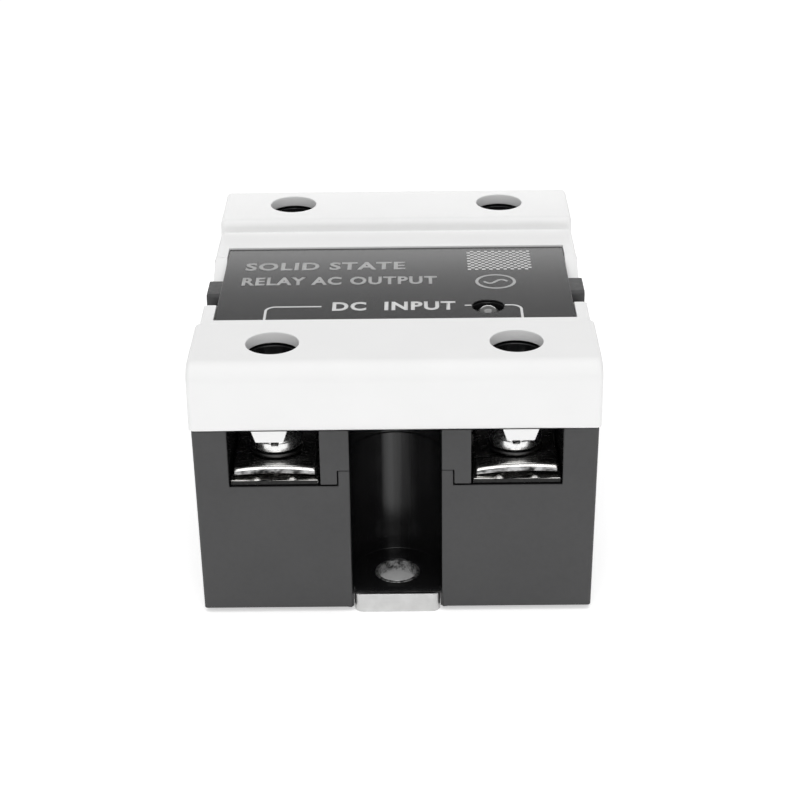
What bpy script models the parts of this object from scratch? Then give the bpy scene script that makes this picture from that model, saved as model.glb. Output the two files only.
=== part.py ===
"""Puck-style single-phase solid state relay with screw terminals, as separate closed sub-parts.

Metres, +Z up. The origin is the centre of the base plate's underside. The input terminals face -Y and
the output terminals face +Y. Driving dimensions are in millimetres and turned to metres by MM.
"""

import math

import bmesh
import bpy
from mathutils import Vector

MM = 0.001
GAP = 0.3  # between pieces that touch on the real object
CLOSE_GAP = 0.15  # between the thin pieces of a terminal's stack
PAST = 1.0  # how far a cutter runs past the wall it cuts
INTO = 0.4  # how far one joined shape reaches into the other
HAIR = 0.02  # keeps two joined shapes from sharing a plane

# Body
BODY_HALF_WIDTH = 22.5
BODY_HALF_LENGTH = 28.2
BODY_BOTTOM = 0.6
CORNER_RADIUS = 0.5
SHOULDER = 23.75  # where the covers' skirts end and the body narrows to a rim inside them
RIM_HALF_WIDTH = 21.7
RIM_HALF_LENGTH = 27.6
RIM_TOP = 26.0
WALL = 1.6
PLATE_CORNER = 1.0

# Base plate and its two ears, on the standard 47.6 mm hole pitch of such relays
HOLE_PITCH = 47.6
HOLE_RADIUS = 2.25
PLATE_THICKNESS = 2.25
PLATE_HALF_WIDTH = 20.3
PLATE_HALF_LENGTH = 25.6
EAR_HALF_WIDTH = 5.0
EAR_END = 28.4
EAR_CORNER = 1.0
FLOOR_BOTTOM = PLATE_THICKNESS + CLOSE_GAP
FLOOR_TOP = 2.85
FLOOR_RECESS = 0.15  # of the floor's open edge behind the end face
COLLAR_RADIUS = 2.65  # of the pressed rim that stands up round each hole, through the floor
FLOOR_HOLE_RADIUS = COLLAR_RADIUS + CLOSE_GAP

# Channel over each mounting hole
HOLE_Y = HOLE_PITCH / 2
CHANNEL_RADIUS = 5.2

# Terminal chambers
SCREW_X = 13.7
SCREW_Y = 22.4
CHAMBER_INNER_X = 8.6
CHAMBER_OUTER_X = 18.8
CHAMBER_BACK_Y = 16.6
SILL = 16.65
TIP_HOLE_RADIUS = 2.5
TIP_HOLE_DEPTH = 6.5

# Inner space of the body
CAVITY_HALF_WIDTH = 20.3
CAVITY_HALF_LENGTH = 15.0

# Upper housing
SEAM = 18.6  # where its piers stand on the lower housing, beside each channel
PIER_HALF_WIDTH = CHAMBER_INNER_X - 0.1
TONGUE_INNER_X = 6.6
TONGUE_DEPTH = 1.5
TONGUE_SLOT_CLEARANCE = 0.2
TONGUE_BOTTOM = SILL + TONGUE_SLOT_CLEARANCE
DECK_BOTTOM = RIM_TOP + GAP
DECK_TOP = 28.9
DECK_THICKNESS = 1.4
DECK_HALF_WIDTH = 21.3
DECK_HALF_LENGTH = 15.6
PIER_TOP = DECK_TOP - 0.5
PLATFORM_TOP = 29.7
PLATFORM_HALF_WIDTH = 21.3
PLATFORM_FRONT_Y = -12.2
PLATFORM_BACK_Y = 10.75
PLUG_CLEARANCE = 0.3
LINK_BOTTOM = 27.9  # of the strip that joins the deck to the terminal roof, under the cover's inner wall
PLUG_BOTTOM = 23.5
LUG_HALF_LENGTH = 2.4
LUG_CORNER = 0.5
LUG_OUTER_X = 23.15
LUG_BOTTOM = 24.1
LUG_TOP = 29.3
LUG_NECK_HALF_LENGTH = LUG_HALF_LENGTH - 0.4
LUG_NECK_BOTTOM = DECK_BOTTOM + 0.1
LUG_NECK_TOP = LUG_TOP - 0.2
LUG_INNER_X = RIM_HALF_WIDTH + GAP

# Label and indicator
LABEL_BOTTOM = 29.8
LABEL_TOP = 30.05
LED_X = 11.1
LED_Y = -8.3
LED_HOLE_RADIUS = 1.95
LED_RADIUS = 1.5
LED_FLANGE_RADIUS = 1.75
LED_FLANGE_HEIGHT = 0.8
LED_BASE = 25.0
LED_SHOULDER = 28.0
LED_LEAD_X = 0.64
LED_LEAD_WIDTH = 0.5

# Covers
COVER_HALF_WIDTH = 22.95
COVER_END = 28.8
COVER_BOTTOM = 24.05
COVER_TOP = 31.9
COVER_WALL = 0.9
ROOF = 1.4
END_FILLET = 2.2
INNER_FILLET = 1.0
HOOD_INNER_Y = 16.1
LEDGE_TOP = 30.3
LEDGE_THICKNESS = 1.1
WINDOW_HALF_WIDTH = 21.6
WINDOW_CLEARANCE = 0.25  # between the label's ends and the covers' ledges
ARM_END_Y = LUG_HALF_LENGTH + GAP
ARM_SHELF = RIM_TOP + GAP  # above it the side arms reach in beside the deck
SCOOP_RADIUS = 13.0
SCOOP_HALF_LENGTH = 7.8
DRIVER_HOLE_RADIUS = 3.0
TAB_X = 14.0
TAB_TOP_HALF = 2.05
TAB_BOTTOM_HALF = 1.55
TAB_HEIGHT = 1.5
SIDE_ROUNDING = 0.7

# Roof over the terminals, part of the upper housing, close under the cover's own roof
TERMINAL_ROOF_HALF_WIDTH = COVER_HALF_WIDTH - COVER_WALL - GAP
TERMINAL_ROOF_INNER_Y = HOOD_INNER_Y + COVER_WALL + GAP
TERMINAL_ROOF_OUTER_Y = COVER_END - COVER_WALL - GAP
TERMINAL_ROOF_TOP = COVER_TOP - ROOF - GAP

# Terminal stack, from the bar up
BAR_THICKNESS = 0.6
BAR_BOTTOM = SILL + 0.1
BAR_TOP = BAR_BOTTOM + BAR_THICKNESS
BAR_HALF_WIDTH = 4.95
BAR_END_Y = 27.9
NECK_HALF_WIDTH = 3.0
NECK_SLOT_CLEARANCE = 0.3
LEG_Y = 13.0
FOOT_LENGTH = 3.0
BAR_HOLE_RADIUS = 2.15
CLAMP_HALF_WIDTH = 4.6
CLAMP_FRONT_Y = 27.2
CLAMP_BACK_Y = 17.4
CLAMP_THICKNESS = 0.8
CLAMP_ARCH = 0.35  # of its upper face
CLAMP_UNDER_ARCH = 0.12
CLAMP_BOTTOM = BAR_TOP + 0.25
CLAMP_HOLE_RADIUS = 2.3
WASHER_BOTTOM = CLAMP_BOTTOM + CLAMP_THICKNESS + CLAMP_ARCH + CLOSE_GAP
WASHER_THICKNESS = 0.4
WASHER_RADII = (2.15, 3.1)
WASHER_SLIT = 0.4
HEAD_BOTTOM = WASHER_BOTTOM + WASHER_THICKNESS + CLOSE_GAP
HEAD_RADIUS = 3.0
HEAD_RIM = 1.1
HEAD_DOME = 0.4
SHANK_RADIUS = 1.9
SHANK_LENGTH = 8.5
TIP_CHAMFER = 0.5
RECESS_LENGTH = 3.4
RECESS_WIDTH = 0.75
RECESS_DEPTH = 0.9
SLOT_DEPTH = 0.55  # of the slot that runs right across the head

# Circuit board and power stage
BOARD_HALF_WIDTH = 19.2
BOARD_FRONT_Y = -13.6
BOARD_BACK_Y = 11.8
BOARD_BOTTOM = 11.2
BOARD_TOP = 12.8
ON_BOARD = BOARD_TOP + GAP
SUBSTRATE_BOTTOM = PLATE_THICKNESS + GAP
SUBSTRATE_TOP = SUBSTRATE_BOTTOM + 0.8
CHIP_BOTTOM = SUBSTRATE_TOP + GAP
CHIP_TOP = CHIP_BOTTOM + 0.4
GEL_BOTTOM = CHIP_TOP + 0.6
GEL_TOP = 9.0
SUBSTRATE_LOW = (-18.5, -7.0)
SUBSTRATE_HIGH = (18.5, 14.0)
CHIP_SIZE = 6.0
CHIP_X = 6.0
CHIP_Y = 1.0
GEL_HALF_WIDTH = 19.9
GEL_HALF_LENGTH = 14.6
AXIAL_LIFT = 0.4
AXIAL_LEAD_WIDTH = 0.6
LEG_WIDTH = 0.5
STANDING_LIFT = 0.8
DIP_PITCH = 2.54
DIP_ROW = 3.0

# name: (finish, centre, size, places of the legs from the centre)
STANDING_PARTS = {
    "optocoupler": (
        "component_black",
        (0, -2.5),
        (8.4, 6.6, 3.3),
        [(x, y) for x in (-DIP_PITCH, 0, DIP_PITCH) for y in (-DIP_ROW, DIP_ROW)],
    ),
    "snubber_capacitor": ("component_yellow", (-3, 7.6), (13.0, 5.0, 8.5), [(-5, 0), (5, 0)]),
    "input_transistor": ("component_black", (-4.5, -9.8), (4.4, 3.4, 4.6), [(-1.3, 0), (0, 0), (1.3, 0)]),
    "gate_triac": ("component_black", (13.5, 1.0), (7.0, 3.2, 7.0), [(-2.3, 0), (0, 0), (2.3, 0)]),
}
# name: (finish, centre, body length, body radius, distance between the leads)
AXIAL_PARTS = {
    "input_resistor": ("component_tan", (-13.0, -6.5), 6.4, 1.15, 9.6),
    "protection_diode": ("component_black", (2.6, -9.8), 4.6, 1.0, 7.4),
    "snubber_resistor": ("component_blue", (-13.0, -1.8), 7.0, 1.4, 10.4),
    "gate_resistor": ("component_tan", (-13.0, 2.4), 6.4, 1.15, 9.6),
}

ROUND_SEGMENTS = 32
FILLET_SEGMENTS = 6

# name: (colour, roughness, metallic)
FINISHES = {
    "black_plastic": ((0.035, 0.035, 0.037, 1.0), 0.45, 0.0),
    "white_plastic": ((0.86, 0.86, 0.86, 1.0), 0.5, 0.0),
    "label_film": ((0.03, 0.03, 0.032, 1.0), 0.3, 0.0),
    "plate_metal": ((0.72, 0.72, 0.73, 1.0), 0.38, 1.0),
    "nickel": ((0.78, 0.77, 0.74, 1.0), 0.2, 1.0),
    "steel": ((0.7, 0.7, 0.7, 1.0), 0.22, 1.0),
    "led_epoxy": ((0.55, 0.05, 0.04, 1.0), 0.12, 0.0),
    "board_green": ((0.03, 0.18, 0.08, 1.0), 0.5, 0.0),
    "component_black": ((0.02, 0.02, 0.02, 1.0), 0.5, 0.0),
    "component_tan": ((0.55, 0.42, 0.26, 1.0), 0.5, 0.0),
    "component_blue": ((0.08, 0.2, 0.5, 1.0), 0.4, 0.0),
    "component_yellow": ((0.75, 0.6, 0.12, 1.0), 0.4, 0.0),
    "ceramic": ((0.85, 0.85, 0.82, 1.0), 0.55, 0.0),
    "silicon": ((0.12, 0.12, 0.14, 1.0), 0.15, 0.6),
    "gel": ((0.5, 0.5, 0.48, 1.0), 0.3, 0.0),
}
TERMINALS = {
    "input_positive": (-1, -1),
    "input_negative": (1, -1),
    "output_line": (-1, 1),
    "output_load": (1, 1),
}
ENDS = {"front": -1, "rear": 1}


def clear_scene():
    for obj in list(bpy.data.objects):
        bpy.data.objects.remove(obj, do_unlink=True)


def finish_material(name):
    """The named material, made once."""
    material = bpy.data.materials.get(name)
    if material is None:
        colour, roughness, metallic = FINISHES[name]
        material = bpy.data.materials.new(name)
        material.use_nodes = True
        shader = material.node_tree.nodes["Principled BSDF"]
        shader.inputs["Base Color"].default_value = colour
        shader.inputs["Roughness"].default_value = roughness
        shader.inputs["Metallic"].default_value = metallic
        material.diffuse_color = colour
    return material


def object_from(bm, name, finish=None, origin=(0, 0, 0)):
    """An object from a bmesh in millimetres. With no finish it is a cutter or a shape to be joined."""
    bmesh.ops.translate(bm, verts=bm.verts, vec=-Vector(origin))
    bmesh.ops.scale(bm, verts=bm.verts, vec=(MM, MM, MM))
    bmesh.ops.recalc_face_normals(bm, faces=bm.faces)
    mesh = bpy.data.meshes.new(name)
    bm.to_mesh(mesh)
    bm.free()
    obj = bpy.data.objects.new(name, mesh)
    obj.location = Vector(origin) * MM
    bpy.context.scene.collection.objects.link(obj)
    if finish:
        mesh.materials.append(finish_material(finish))
    else:
        obj.hide_render = True
        obj.display_type = "WIRE"
    return obj


def box(low, high):
    """A bmesh box between two corners."""
    bm = bmesh.new()
    bmesh.ops.create_cube(bm, size=1.0)
    size = Vector(high) - Vector(low)
    bmesh.ops.scale(bm, verts=bm.verts, vec=size)
    bmesh.ops.translate(bm, verts=bm.verts, vec=(Vector(high) + Vector(low)) / 2)
    return bm


def mirrored_box(sides, low, high):
    """A box given for the +X, +Y corner of the relay, turned to the corner that sides (x, y) names."""
    corners = [[sides[axis] * end[axis] for axis in (0, 1)] + [end[2]] for end in (low, high)]
    return box(list(map(min, *corners)), list(map(max, *corners)))


def prism(outline, axis, start, end):
    """A closed outline swept along an axis. Its points are (y, z) for X, (x, z) for Y and (x, y) for Z."""
    places = {
        "X": lambda u, v, along: (along, u, v),
        "Y": lambda u, v, along: (u, along, v),
        "Z": lambda u, v, along: (u, v, along),
    }
    bm = bmesh.new()
    rings = [[bm.verts.new(places[axis](u, v, along)) for u, v in outline] for along in (start, end)]
    bm.faces.new(rings[0])
    bm.faces.new(reversed(rings[1]))
    count = len(outline)
    for i in range(count):
        following = (i + 1) % count
        bm.faces.new((rings[0][i], rings[0][following], rings[1][following], rings[1][i]))
    bmesh.ops.recalc_face_normals(bm, faces=bm.faces)
    return bm


def arc(centre, radius, from_degrees, to_degrees, segments=FILLET_SEGMENTS):
    """The points of an arc, both ends included."""
    points = []
    for step in range(segments + 1):
        angle = math.radians(from_degrees + (to_degrees - from_degrees) * step / segments)
        points.append((centre[0] + radius * math.cos(angle), centre[1] + radius * math.sin(angle)))
    return points


def rounded_rectangle(half_width, half_length, radius, segments=4):
    """The outline of a rectangle about the origin with round corners."""
    outline = []
    for sign_x, sign_y, start in ((1, 1, 0), (-1, 1, 90), (-1, -1, 180), (1, -1, 270)):
        centre = (sign_x * (half_width - radius), sign_y * (half_length - radius))
        outline += arc(centre, radius, start, start + 90, segments)
    return outline


def disc(centre, radius, low, high, segments=ROUND_SEGMENTS):
    """A round prism along Z."""
    circle = arc(centre, radius, 0, 360, segments)[:-1]
    return prism(circle, "Z", low, high)


def turned(profile, segments=ROUND_SEGMENTS):
    """A solid turned about Z from (radius, z) points that start and end on the axis."""
    bm = bmesh.new()
    rings = []
    for radius, z in profile:
        if radius == 0:
            rings.append([bm.verts.new((0, 0, z))])
        else:
            circle = arc((0, 0), radius, 0, 360, segments)[:-1]
            rings.append([bm.verts.new((x, y, z)) for x, y in circle])
    for lower, upper in zip(rings, rings[1:]):
        for i in range(segments):
            j = (i + 1) % segments
            below = [lower[i % len(lower)], lower[j % len(lower)]]
            above = [upper[j % len(upper)], upper[i % len(upper)]]
            bm.faces.new(list(dict.fromkeys(below + above)))
    bmesh.ops.recalc_face_normals(bm, faces=bm.faces)
    return bm


def combine(obj, shapes, operation):
    """Adds one Boolean for each bmesh, made into a hidden helper object."""
    for shape in shapes:
        helper = object_from(shape, f"{obj.name}_{operation.lower()}_{len(obj.modifiers)}")
        modifier = obj.modifiers.new(operation.title(), "BOOLEAN")
        modifier.operation = operation
        modifier.solver = "EXACT"
        modifier.object = helper


def cut(obj, *shapes):
    combine(obj, shapes, "DIFFERENCE")


def join(obj, *shapes):
    combine(obj, shapes, "UNION")


def smooth(obj, degrees=35):
    obj.data.shade_smooth()
    obj.data.set_sharp_from_angle(angle=math.radians(degrees))


def channel_outline(sign, radius, end):
    """The channel's plan: straight walls from the end face to a half circle about the mounting hole."""
    half_circle = arc((0, sign * HOLE_Y), radius, 0, -180 * sign, 16)
    return [(radius, sign * end)] + half_circle + [(-radius, sign * end)]


def base_plate():
    plate = prism(
        rounded_rectangle(PLATE_HALF_WIDTH, PLATE_HALF_LENGTH, PLATE_CORNER), "Z", 0, PLATE_THICKNESS
    )
    plate = object_from(plate, "base_plate", "plate_metal")
    ears = prism(
        rounded_rectangle(EAR_HALF_WIDTH, EAR_END, EAR_CORNER, FILLET_SEGMENTS), "Z", 0, PLATE_THICKNESS
    )
    collars = [
        disc((0, sign * HOLE_Y), COLLAR_RADIUS, PLATE_THICKNESS - INTO, FLOOR_TOP) for sign in ENDS.values()
    ]
    join(plate, ears, *collars)
    for sign in ENDS.values():
        cut(plate, disc((0, sign * HOLE_Y), HOLE_RADIUS, -PAST, FLOOR_TOP + PAST))
    smooth(plate)


def lower_housing():
    """The tub: side walls, a floor over each ear, and an end block with two chambers and a channel."""
    body = prism(
        rounded_rectangle(BODY_HALF_WIDTH, BODY_HALF_LENGTH, CORNER_RADIUS), "Z", BODY_BOTTOM, SHOULDER
    )
    housing = object_from(body, "lower_housing", "black_plastic")
    rim = rounded_rectangle(RIM_HALF_WIDTH, RIM_HALF_LENGTH, CORNER_RADIUS)
    join(housing, prism(rim, "Z", SHOULDER - INTO, RIM_TOP))

    cavity = box(
        (-CAVITY_HALF_WIDTH, -CAVITY_HALF_LENGTH, -PAST),
        (CAVITY_HALF_WIDTH, CAVITY_HALF_LENGTH, RIM_TOP + PAST),
    )
    plate_pocket = box(
        (-PLATE_HALF_WIDTH - GAP, -PLATE_HALF_LENGTH - GAP, -PAST),
        (PLATE_HALF_WIDTH + GAP, PLATE_HALF_LENGTH + GAP, FLOOR_BOTTOM),
    )
    ear_slot = box(
        (-EAR_HALF_WIDTH - GAP, -EAR_END - PAST, -PAST),
        (EAR_HALF_WIDTH + GAP, EAR_END + PAST, FLOOR_BOTTOM),
    )
    cut(housing, cavity, plate_pocket, ear_slot)

    for sign in ENDS.values():
        channel = channel_outline(sign, CHANNEL_RADIUS, BODY_HALF_LENGTH + PAST)
        cut(housing, prism(channel, "Z", FLOOR_TOP, RIM_TOP + PAST))
        cut(housing, disc((0, sign * HOLE_Y), FLOOR_HOLE_RADIUS, 0, FLOOR_TOP + PAST))
        cut(housing, mirrored_box(
            (1, sign),
            (-CHANNEL_RADIUS, BODY_HALF_LENGTH - FLOOR_RECESS, 0),
            (CHANNEL_RADIUS, BODY_HALF_LENGTH + PAST, FLOOR_TOP + PAST),
        ))
        # The seat of the upper housing's pier
        cut(housing, mirrored_box(
            (1, sign),
            (-CHAMBER_INNER_X - INTO, CAVITY_HALF_LENGTH - PAST, SEAM - GAP),
            (CHAMBER_INNER_X + INTO, BODY_HALF_LENGTH + PAST, RIM_TOP + PAST),
        ))

    for sides in TERMINALS.values():
        chamber = mirrored_box(
            sides,
            (CHAMBER_INNER_X, CHAMBER_BACK_Y, SILL),
            (CHAMBER_OUTER_X, BODY_HALF_LENGTH + PAST, RIM_TOP + PAST),
        )
        tongue_slot = mirrored_box(
            sides,
            (TONGUE_INNER_X - TONGUE_SLOT_CLEARANCE, BODY_HALF_LENGTH - TONGUE_DEPTH - GAP, SILL),
            (CHAMBER_INNER_X + INTO, BODY_HALF_LENGTH + PAST, SEAM),
        )
        neck_slot = mirrored_box(
            sides,
            (SCREW_X - NECK_HALF_WIDTH - NECK_SLOT_CLEARANCE, CAVITY_HALF_LENGTH - PAST, SILL),
            (
                SCREW_X + NECK_HALF_WIDTH + NECK_SLOT_CLEARANCE,
                CHAMBER_BACK_Y + PAST,
                BAR_TOP + NECK_SLOT_CLEARANCE,
            ),
        )
        screw_axis = (sides[0] * SCREW_X, sides[1] * SCREW_Y)
        tip_hole = disc(screw_axis, TIP_HOLE_RADIUS, SILL - TIP_HOLE_DEPTH, SILL + PAST)
        cut(housing, chamber, tongue_slot, neck_slot, tip_hole)
    smooth(housing)


def upper_housing():
    """The lid: deck, platform, two side lugs, and at each end a pier, a roof over the screws, two tongues."""
    deck = box(
        (-DECK_HALF_WIDTH, -DECK_HALF_LENGTH, DECK_BOTTOM),
        (DECK_HALF_WIDTH, DECK_HALF_LENGTH, DECK_TOP),
    )
    housing = object_from(deck, "upper_housing", "black_plastic")
    platform = box(
        (-PLATFORM_HALF_WIDTH, PLATFORM_FRONT_Y, DECK_TOP - INTO),
        (PLATFORM_HALF_WIDTH, PLATFORM_BACK_Y, PLATFORM_TOP),
    )
    plug_half_width = CAVITY_HALF_WIDTH - PLUG_CLEARANCE
    plug_half_length = CAVITY_HALF_LENGTH - PLUG_CLEARANCE
    plug = box(
        (-plug_half_width, -plug_half_length, PLUG_BOTTOM),
        (plug_half_width, plug_half_length, DECK_BOTTOM + INTO),
    )
    lug_profile = arc((LUG_HALF_LENGTH - LUG_CORNER, LUG_TOP - LUG_CORNER), LUG_CORNER, 0, 90)
    lug_profile += arc((LUG_CORNER - LUG_HALF_LENGTH, LUG_TOP - LUG_CORNER), LUG_CORNER, 90, 180)
    lug_profile += [(-LUG_HALF_LENGTH, LUG_BOTTOM), (LUG_HALF_LENGTH, LUG_BOTTOM)]
    join(housing, platform, plug)

    for sign in ENDS.values():
        lower_pier = mirrored_box(
            (1, sign),
            (-PIER_HALF_WIDTH, CAVITY_HALF_LENGTH - PLUG_CLEARANCE - INTO, SEAM),
            (PIER_HALF_WIDTH, BODY_HALF_LENGTH, SHOULDER),
        )
        upper_pier = mirrored_box(
            (1, sign),
            (-PIER_HALF_WIDTH, CAVITY_HALF_LENGTH - PLUG_CLEARANCE - INTO, SHOULDER - INTO),
            (PIER_HALF_WIDTH, RIM_HALF_LENGTH, PIER_TOP),
        )
        link = mirrored_box(
            (1, sign),
            (-DECK_HALF_WIDTH + INTO, DECK_HALF_LENGTH - INTO, LINK_BOTTOM),
            (DECK_HALF_WIDTH - INTO, TERMINAL_ROOF_INNER_Y + INTO, DECK_TOP - HAIR),
        )
        roof = mirrored_box(
            (1, sign),
            (-TERMINAL_ROOF_HALF_WIDTH, TERMINAL_ROOF_INNER_Y, LINK_BOTTOM - HAIR),
            (TERMINAL_ROOF_HALF_WIDTH, TERMINAL_ROOF_OUTER_Y, TERMINAL_ROOF_TOP),
        )
        join(housing, lower_pier, upper_pier, link, roof)

    hollow = box(
        (-plug_half_width + WALL, -plug_half_length + WALL, PLUG_BOTTOM - PAST),
        (plug_half_width - WALL, plug_half_length - WALL, DECK_TOP - DECK_THICKNESS),
    )
    led_hole = disc((LED_X, LED_Y), LED_HOLE_RADIUS, DECK_BOTTOM - PAST, PLATFORM_TOP + PAST)
    cut(housing, hollow, led_hole)

    for sign in ENDS.values():
        channel = channel_outline(sign, CHANNEL_RADIUS, BODY_HALF_LENGTH + PAST)
        cut(housing, prism(channel, "Z", SEAM - PAST, TERMINAL_ROOF_TOP + PAST))

    for sides in TERMINALS.values():
        screw_axis = (sides[0] * SCREW_X, sides[1] * SCREW_Y)
        cut(housing, disc(screw_axis, DRIVER_HOLE_RADIUS, LINK_BOTTOM - PAST, TERMINAL_ROOF_TOP + PAST))
        join(housing, mirrored_box(
            sides,
            (TONGUE_INNER_X, BODY_HALF_LENGTH - TONGUE_DEPTH, TONGUE_BOTTOM),
            (PIER_HALF_WIDTH, BODY_HALF_LENGTH - HAIR, SEAM + INTO),
        ))
    for side in (-1, 1):
        join(housing, prism(lug_profile, "X", side * LUG_INNER_X, side * LUG_OUTER_X))
        join(housing, mirrored_box(
            (side, 1),
            (DECK_HALF_WIDTH - INTO, -LUG_NECK_HALF_LENGTH, LUG_NECK_BOTTOM),
            (LUG_INNER_X + INTO, LUG_NECK_HALF_LENGTH, LUG_NECK_TOP),
        ))
    smooth(housing)


def label():
    film = box(
        (-PLATFORM_HALF_WIDTH, PLATFORM_FRONT_Y, LABEL_BOTTOM),
        (PLATFORM_HALF_WIDTH, PLATFORM_BACK_Y, LABEL_TOP),
    )
    film = object_from(film, "label", "label_film")
    cut(film, disc((LED_X, LED_Y), LED_HOLE_RADIUS, LABEL_BOTTOM - PAST, LABEL_TOP + PAST))
    smooth(film)


def hood_outline(sign):
    """The cover's side profile as (y, z): end wall, round top edge, step down to the ledge and the arms."""
    end_arc = arc((COVER_END - END_FILLET, COVER_TOP - END_FILLET), END_FILLET, 0, 90, 8)
    inner_arc = arc((HOOD_INNER_Y + INNER_FILLET, COVER_TOP - INNER_FILLET), INNER_FILLET, 90, 180, 5)
    outline = [(COVER_END, COVER_BOTTOM)] + end_arc + inner_arc
    outline += [(HOOD_INNER_Y, LEDGE_TOP), (ARM_END_Y, LEDGE_TOP), (ARM_END_Y, COVER_BOTTOM)]
    return [(sign * y, z) for y, z in outline]


def round_sides(bm, half_width, radius, segments=4):
    """Rounds every edge of the two end faces of a prism along X, apart from the bottom edges."""
    ends = [edge for edge in bm.edges
            if abs(edge.verts[0].co.x - edge.verts[1].co.x) < 1e-6
            and abs(abs(edge.verts[0].co.x) - half_width) < 1e-6
            and max(vert.co.z for vert in edge.verts) > COVER_BOTTOM + 1e-3]
    bmesh.ops.bevel(
        bm, geom=ends, offset=radius, segments=segments, profile=0.5, affect="EDGES", clamp_overlap=True
    )
    return bm


def terminal_cover(end, sign):
    """One clip-on hood with its ledge, its two side arms and a tab in front of each screw."""
    shell = round_sides(
        prism(hood_outline(sign), "X", -COVER_HALF_WIDTH, COVER_HALF_WIDTH), COVER_HALF_WIDTH, SIDE_ROUNDING
    )
    cover = object_from(shell, f"{end}_cover", "white_plastic")
    inner_half_width = COVER_HALF_WIDTH - COVER_WALL
    hood_hollow = mirrored_box(
        (1, sign),
        (-inner_half_width, HOOD_INNER_Y + COVER_WALL, COVER_BOTTOM - PAST),
        (inner_half_width, COVER_END - COVER_WALL, COVER_TOP - ROOF),
    )
    skirt_hollow = mirrored_box(
        (1, sign),
        (-inner_half_width, -PAST, COVER_BOTTOM - PAST),
        (inner_half_width, HOOD_INNER_Y + COVER_WALL + INTO, ARM_SHELF),
    )
    ledge_hollow = mirrored_box(
        (1, sign),
        (-WINDOW_HALF_WIDTH, -PAST, ARM_SHELF - INTO),
        (WINDOW_HALF_WIDTH, HOOD_INNER_Y + COVER_WALL + INTO, LEDGE_TOP - LEDGE_THICKNESS),
    )
    label_end = abs(PLATFORM_FRONT_Y) if sign < 0 else PLATFORM_BACK_Y
    window = mirrored_box(
        (1, sign),
        (-WINDOW_HALF_WIDTH, -PAST, LEDGE_TOP - LEDGE_THICKNESS - PAST),
        (WINDOW_HALF_WIDTH, label_end + WINDOW_CLEARANCE, LEDGE_TOP + PAST),
    )
    scoop_rise = math.sqrt(SCOOP_RADIUS**2 - SCOOP_HALF_LENGTH**2)
    scoop_outline = arc((0, LEDGE_TOP + scoop_rise), SCOOP_RADIUS, 180, 360, 40)
    scoop = prism(scoop_outline, "X", -COVER_HALF_WIDTH - PAST, COVER_HALF_WIDTH + PAST)
    cut(cover, hood_hollow, skirt_hollow, ledge_hollow, window, scoop)
    for side in (-1, 1):
        hole_centre = (side * SCREW_X, sign * SCREW_Y)
        cut(cover, disc(hole_centre, DRIVER_HOLE_RADIUS, COVER_TOP - ROOF - PAST, COVER_TOP + PAST))
        tab = [
            (side * TAB_X - TAB_TOP_HALF, COVER_BOTTOM + INTO),
            (side * TAB_X - TAB_TOP_HALF, COVER_BOTTOM),
            (side * TAB_X - TAB_BOTTOM_HALF, COVER_BOTTOM - TAB_HEIGHT),
            (side * TAB_X + TAB_BOTTOM_HALF, COVER_BOTTOM - TAB_HEIGHT),
            (side * TAB_X + TAB_TOP_HALF, COVER_BOTTOM),
            (side * TAB_X + TAB_TOP_HALF, COVER_BOTTOM + INTO),
        ]
        join(cover, prism(tab, "Y", sign * (COVER_END - COVER_WALL + HAIR), sign * (COVER_END - HAIR)))
    smooth(cover)


def terminal_bar(name, sides):
    """A bent strip: a pad with a hole in the chamber, and a neck, a leg and a foot on the electronics."""
    side, sign = sides
    bar = object_from(
        mirrored_box(
            sides,
            (SCREW_X - BAR_HALF_WIDTH, CHAMBER_BACK_Y + GAP, BAR_BOTTOM),
            (SCREW_X + BAR_HALF_WIDTH, BAR_END_Y, BAR_TOP),
        ),
        f"{name}_bar",
        "nickel",
    )
    foot_bottom = ON_BOARD if sign < 0 else CHIP_BOTTOM
    bent_strip = [
        (CHAMBER_BACK_Y + GAP + INTO, BAR_TOP - HAIR),
        (LEG_Y, BAR_TOP - HAIR),
        (LEG_Y, foot_bottom + BAR_THICKNESS),
        (LEG_Y - FOOT_LENGTH, foot_bottom + BAR_THICKNESS),
        (LEG_Y - FOOT_LENGTH, foot_bottom),
        (LEG_Y + BAR_THICKNESS, foot_bottom),
        (LEG_Y + BAR_THICKNESS, BAR_BOTTOM + HAIR),
        (CHAMBER_BACK_Y + GAP + INTO, BAR_BOTTOM + HAIR),
    ]
    bent_strip = [(sign * y, z) for y, z in bent_strip]
    middle = side * SCREW_X
    join(bar, prism(bent_strip, "X", middle - NECK_HALF_WIDTH, middle + NECK_HALF_WIDTH))
    cut(bar, disc((side * SCREW_X, sign * SCREW_Y), BAR_HOLE_RADIUS, BAR_BOTTOM - PAST, BAR_TOP + PAST))
    smooth(bar)


def clamp_plate(name, sides):
    """A square wire clamp, arched so that its two edges bite first."""
    steps = 10
    bottom, top = [], []
    for step in range(steps + 1):
        across = 2 * step / steps - 1
        x = CLAMP_HALF_WIDTH * across
        bottom.append((x, CLAMP_BOTTOM + CLAMP_UNDER_ARCH * (1 - across**2)))
        top.append((x, CLAMP_BOTTOM + CLAMP_THICKNESS + CLAMP_ARCH * (1 - across**2)))
    outline = bottom + list(reversed(top))
    side, sign = sides
    outline = [(side * SCREW_X + x, z) for x, z in outline]
    plate = object_from(
        prism(outline, "Y", sign * CLAMP_BACK_Y, sign * CLAMP_FRONT_Y),
        f"{name}_clamp",
        "nickel",
        (side * SCREW_X, sign * SCREW_Y, CLAMP_BOTTOM),
    )
    cut(plate, disc((side * SCREW_X, sign * SCREW_Y), CLAMP_HOLE_RADIUS, CLAMP_BOTTOM - PAST, WASHER_BOTTOM))
    smooth(plate)


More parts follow.
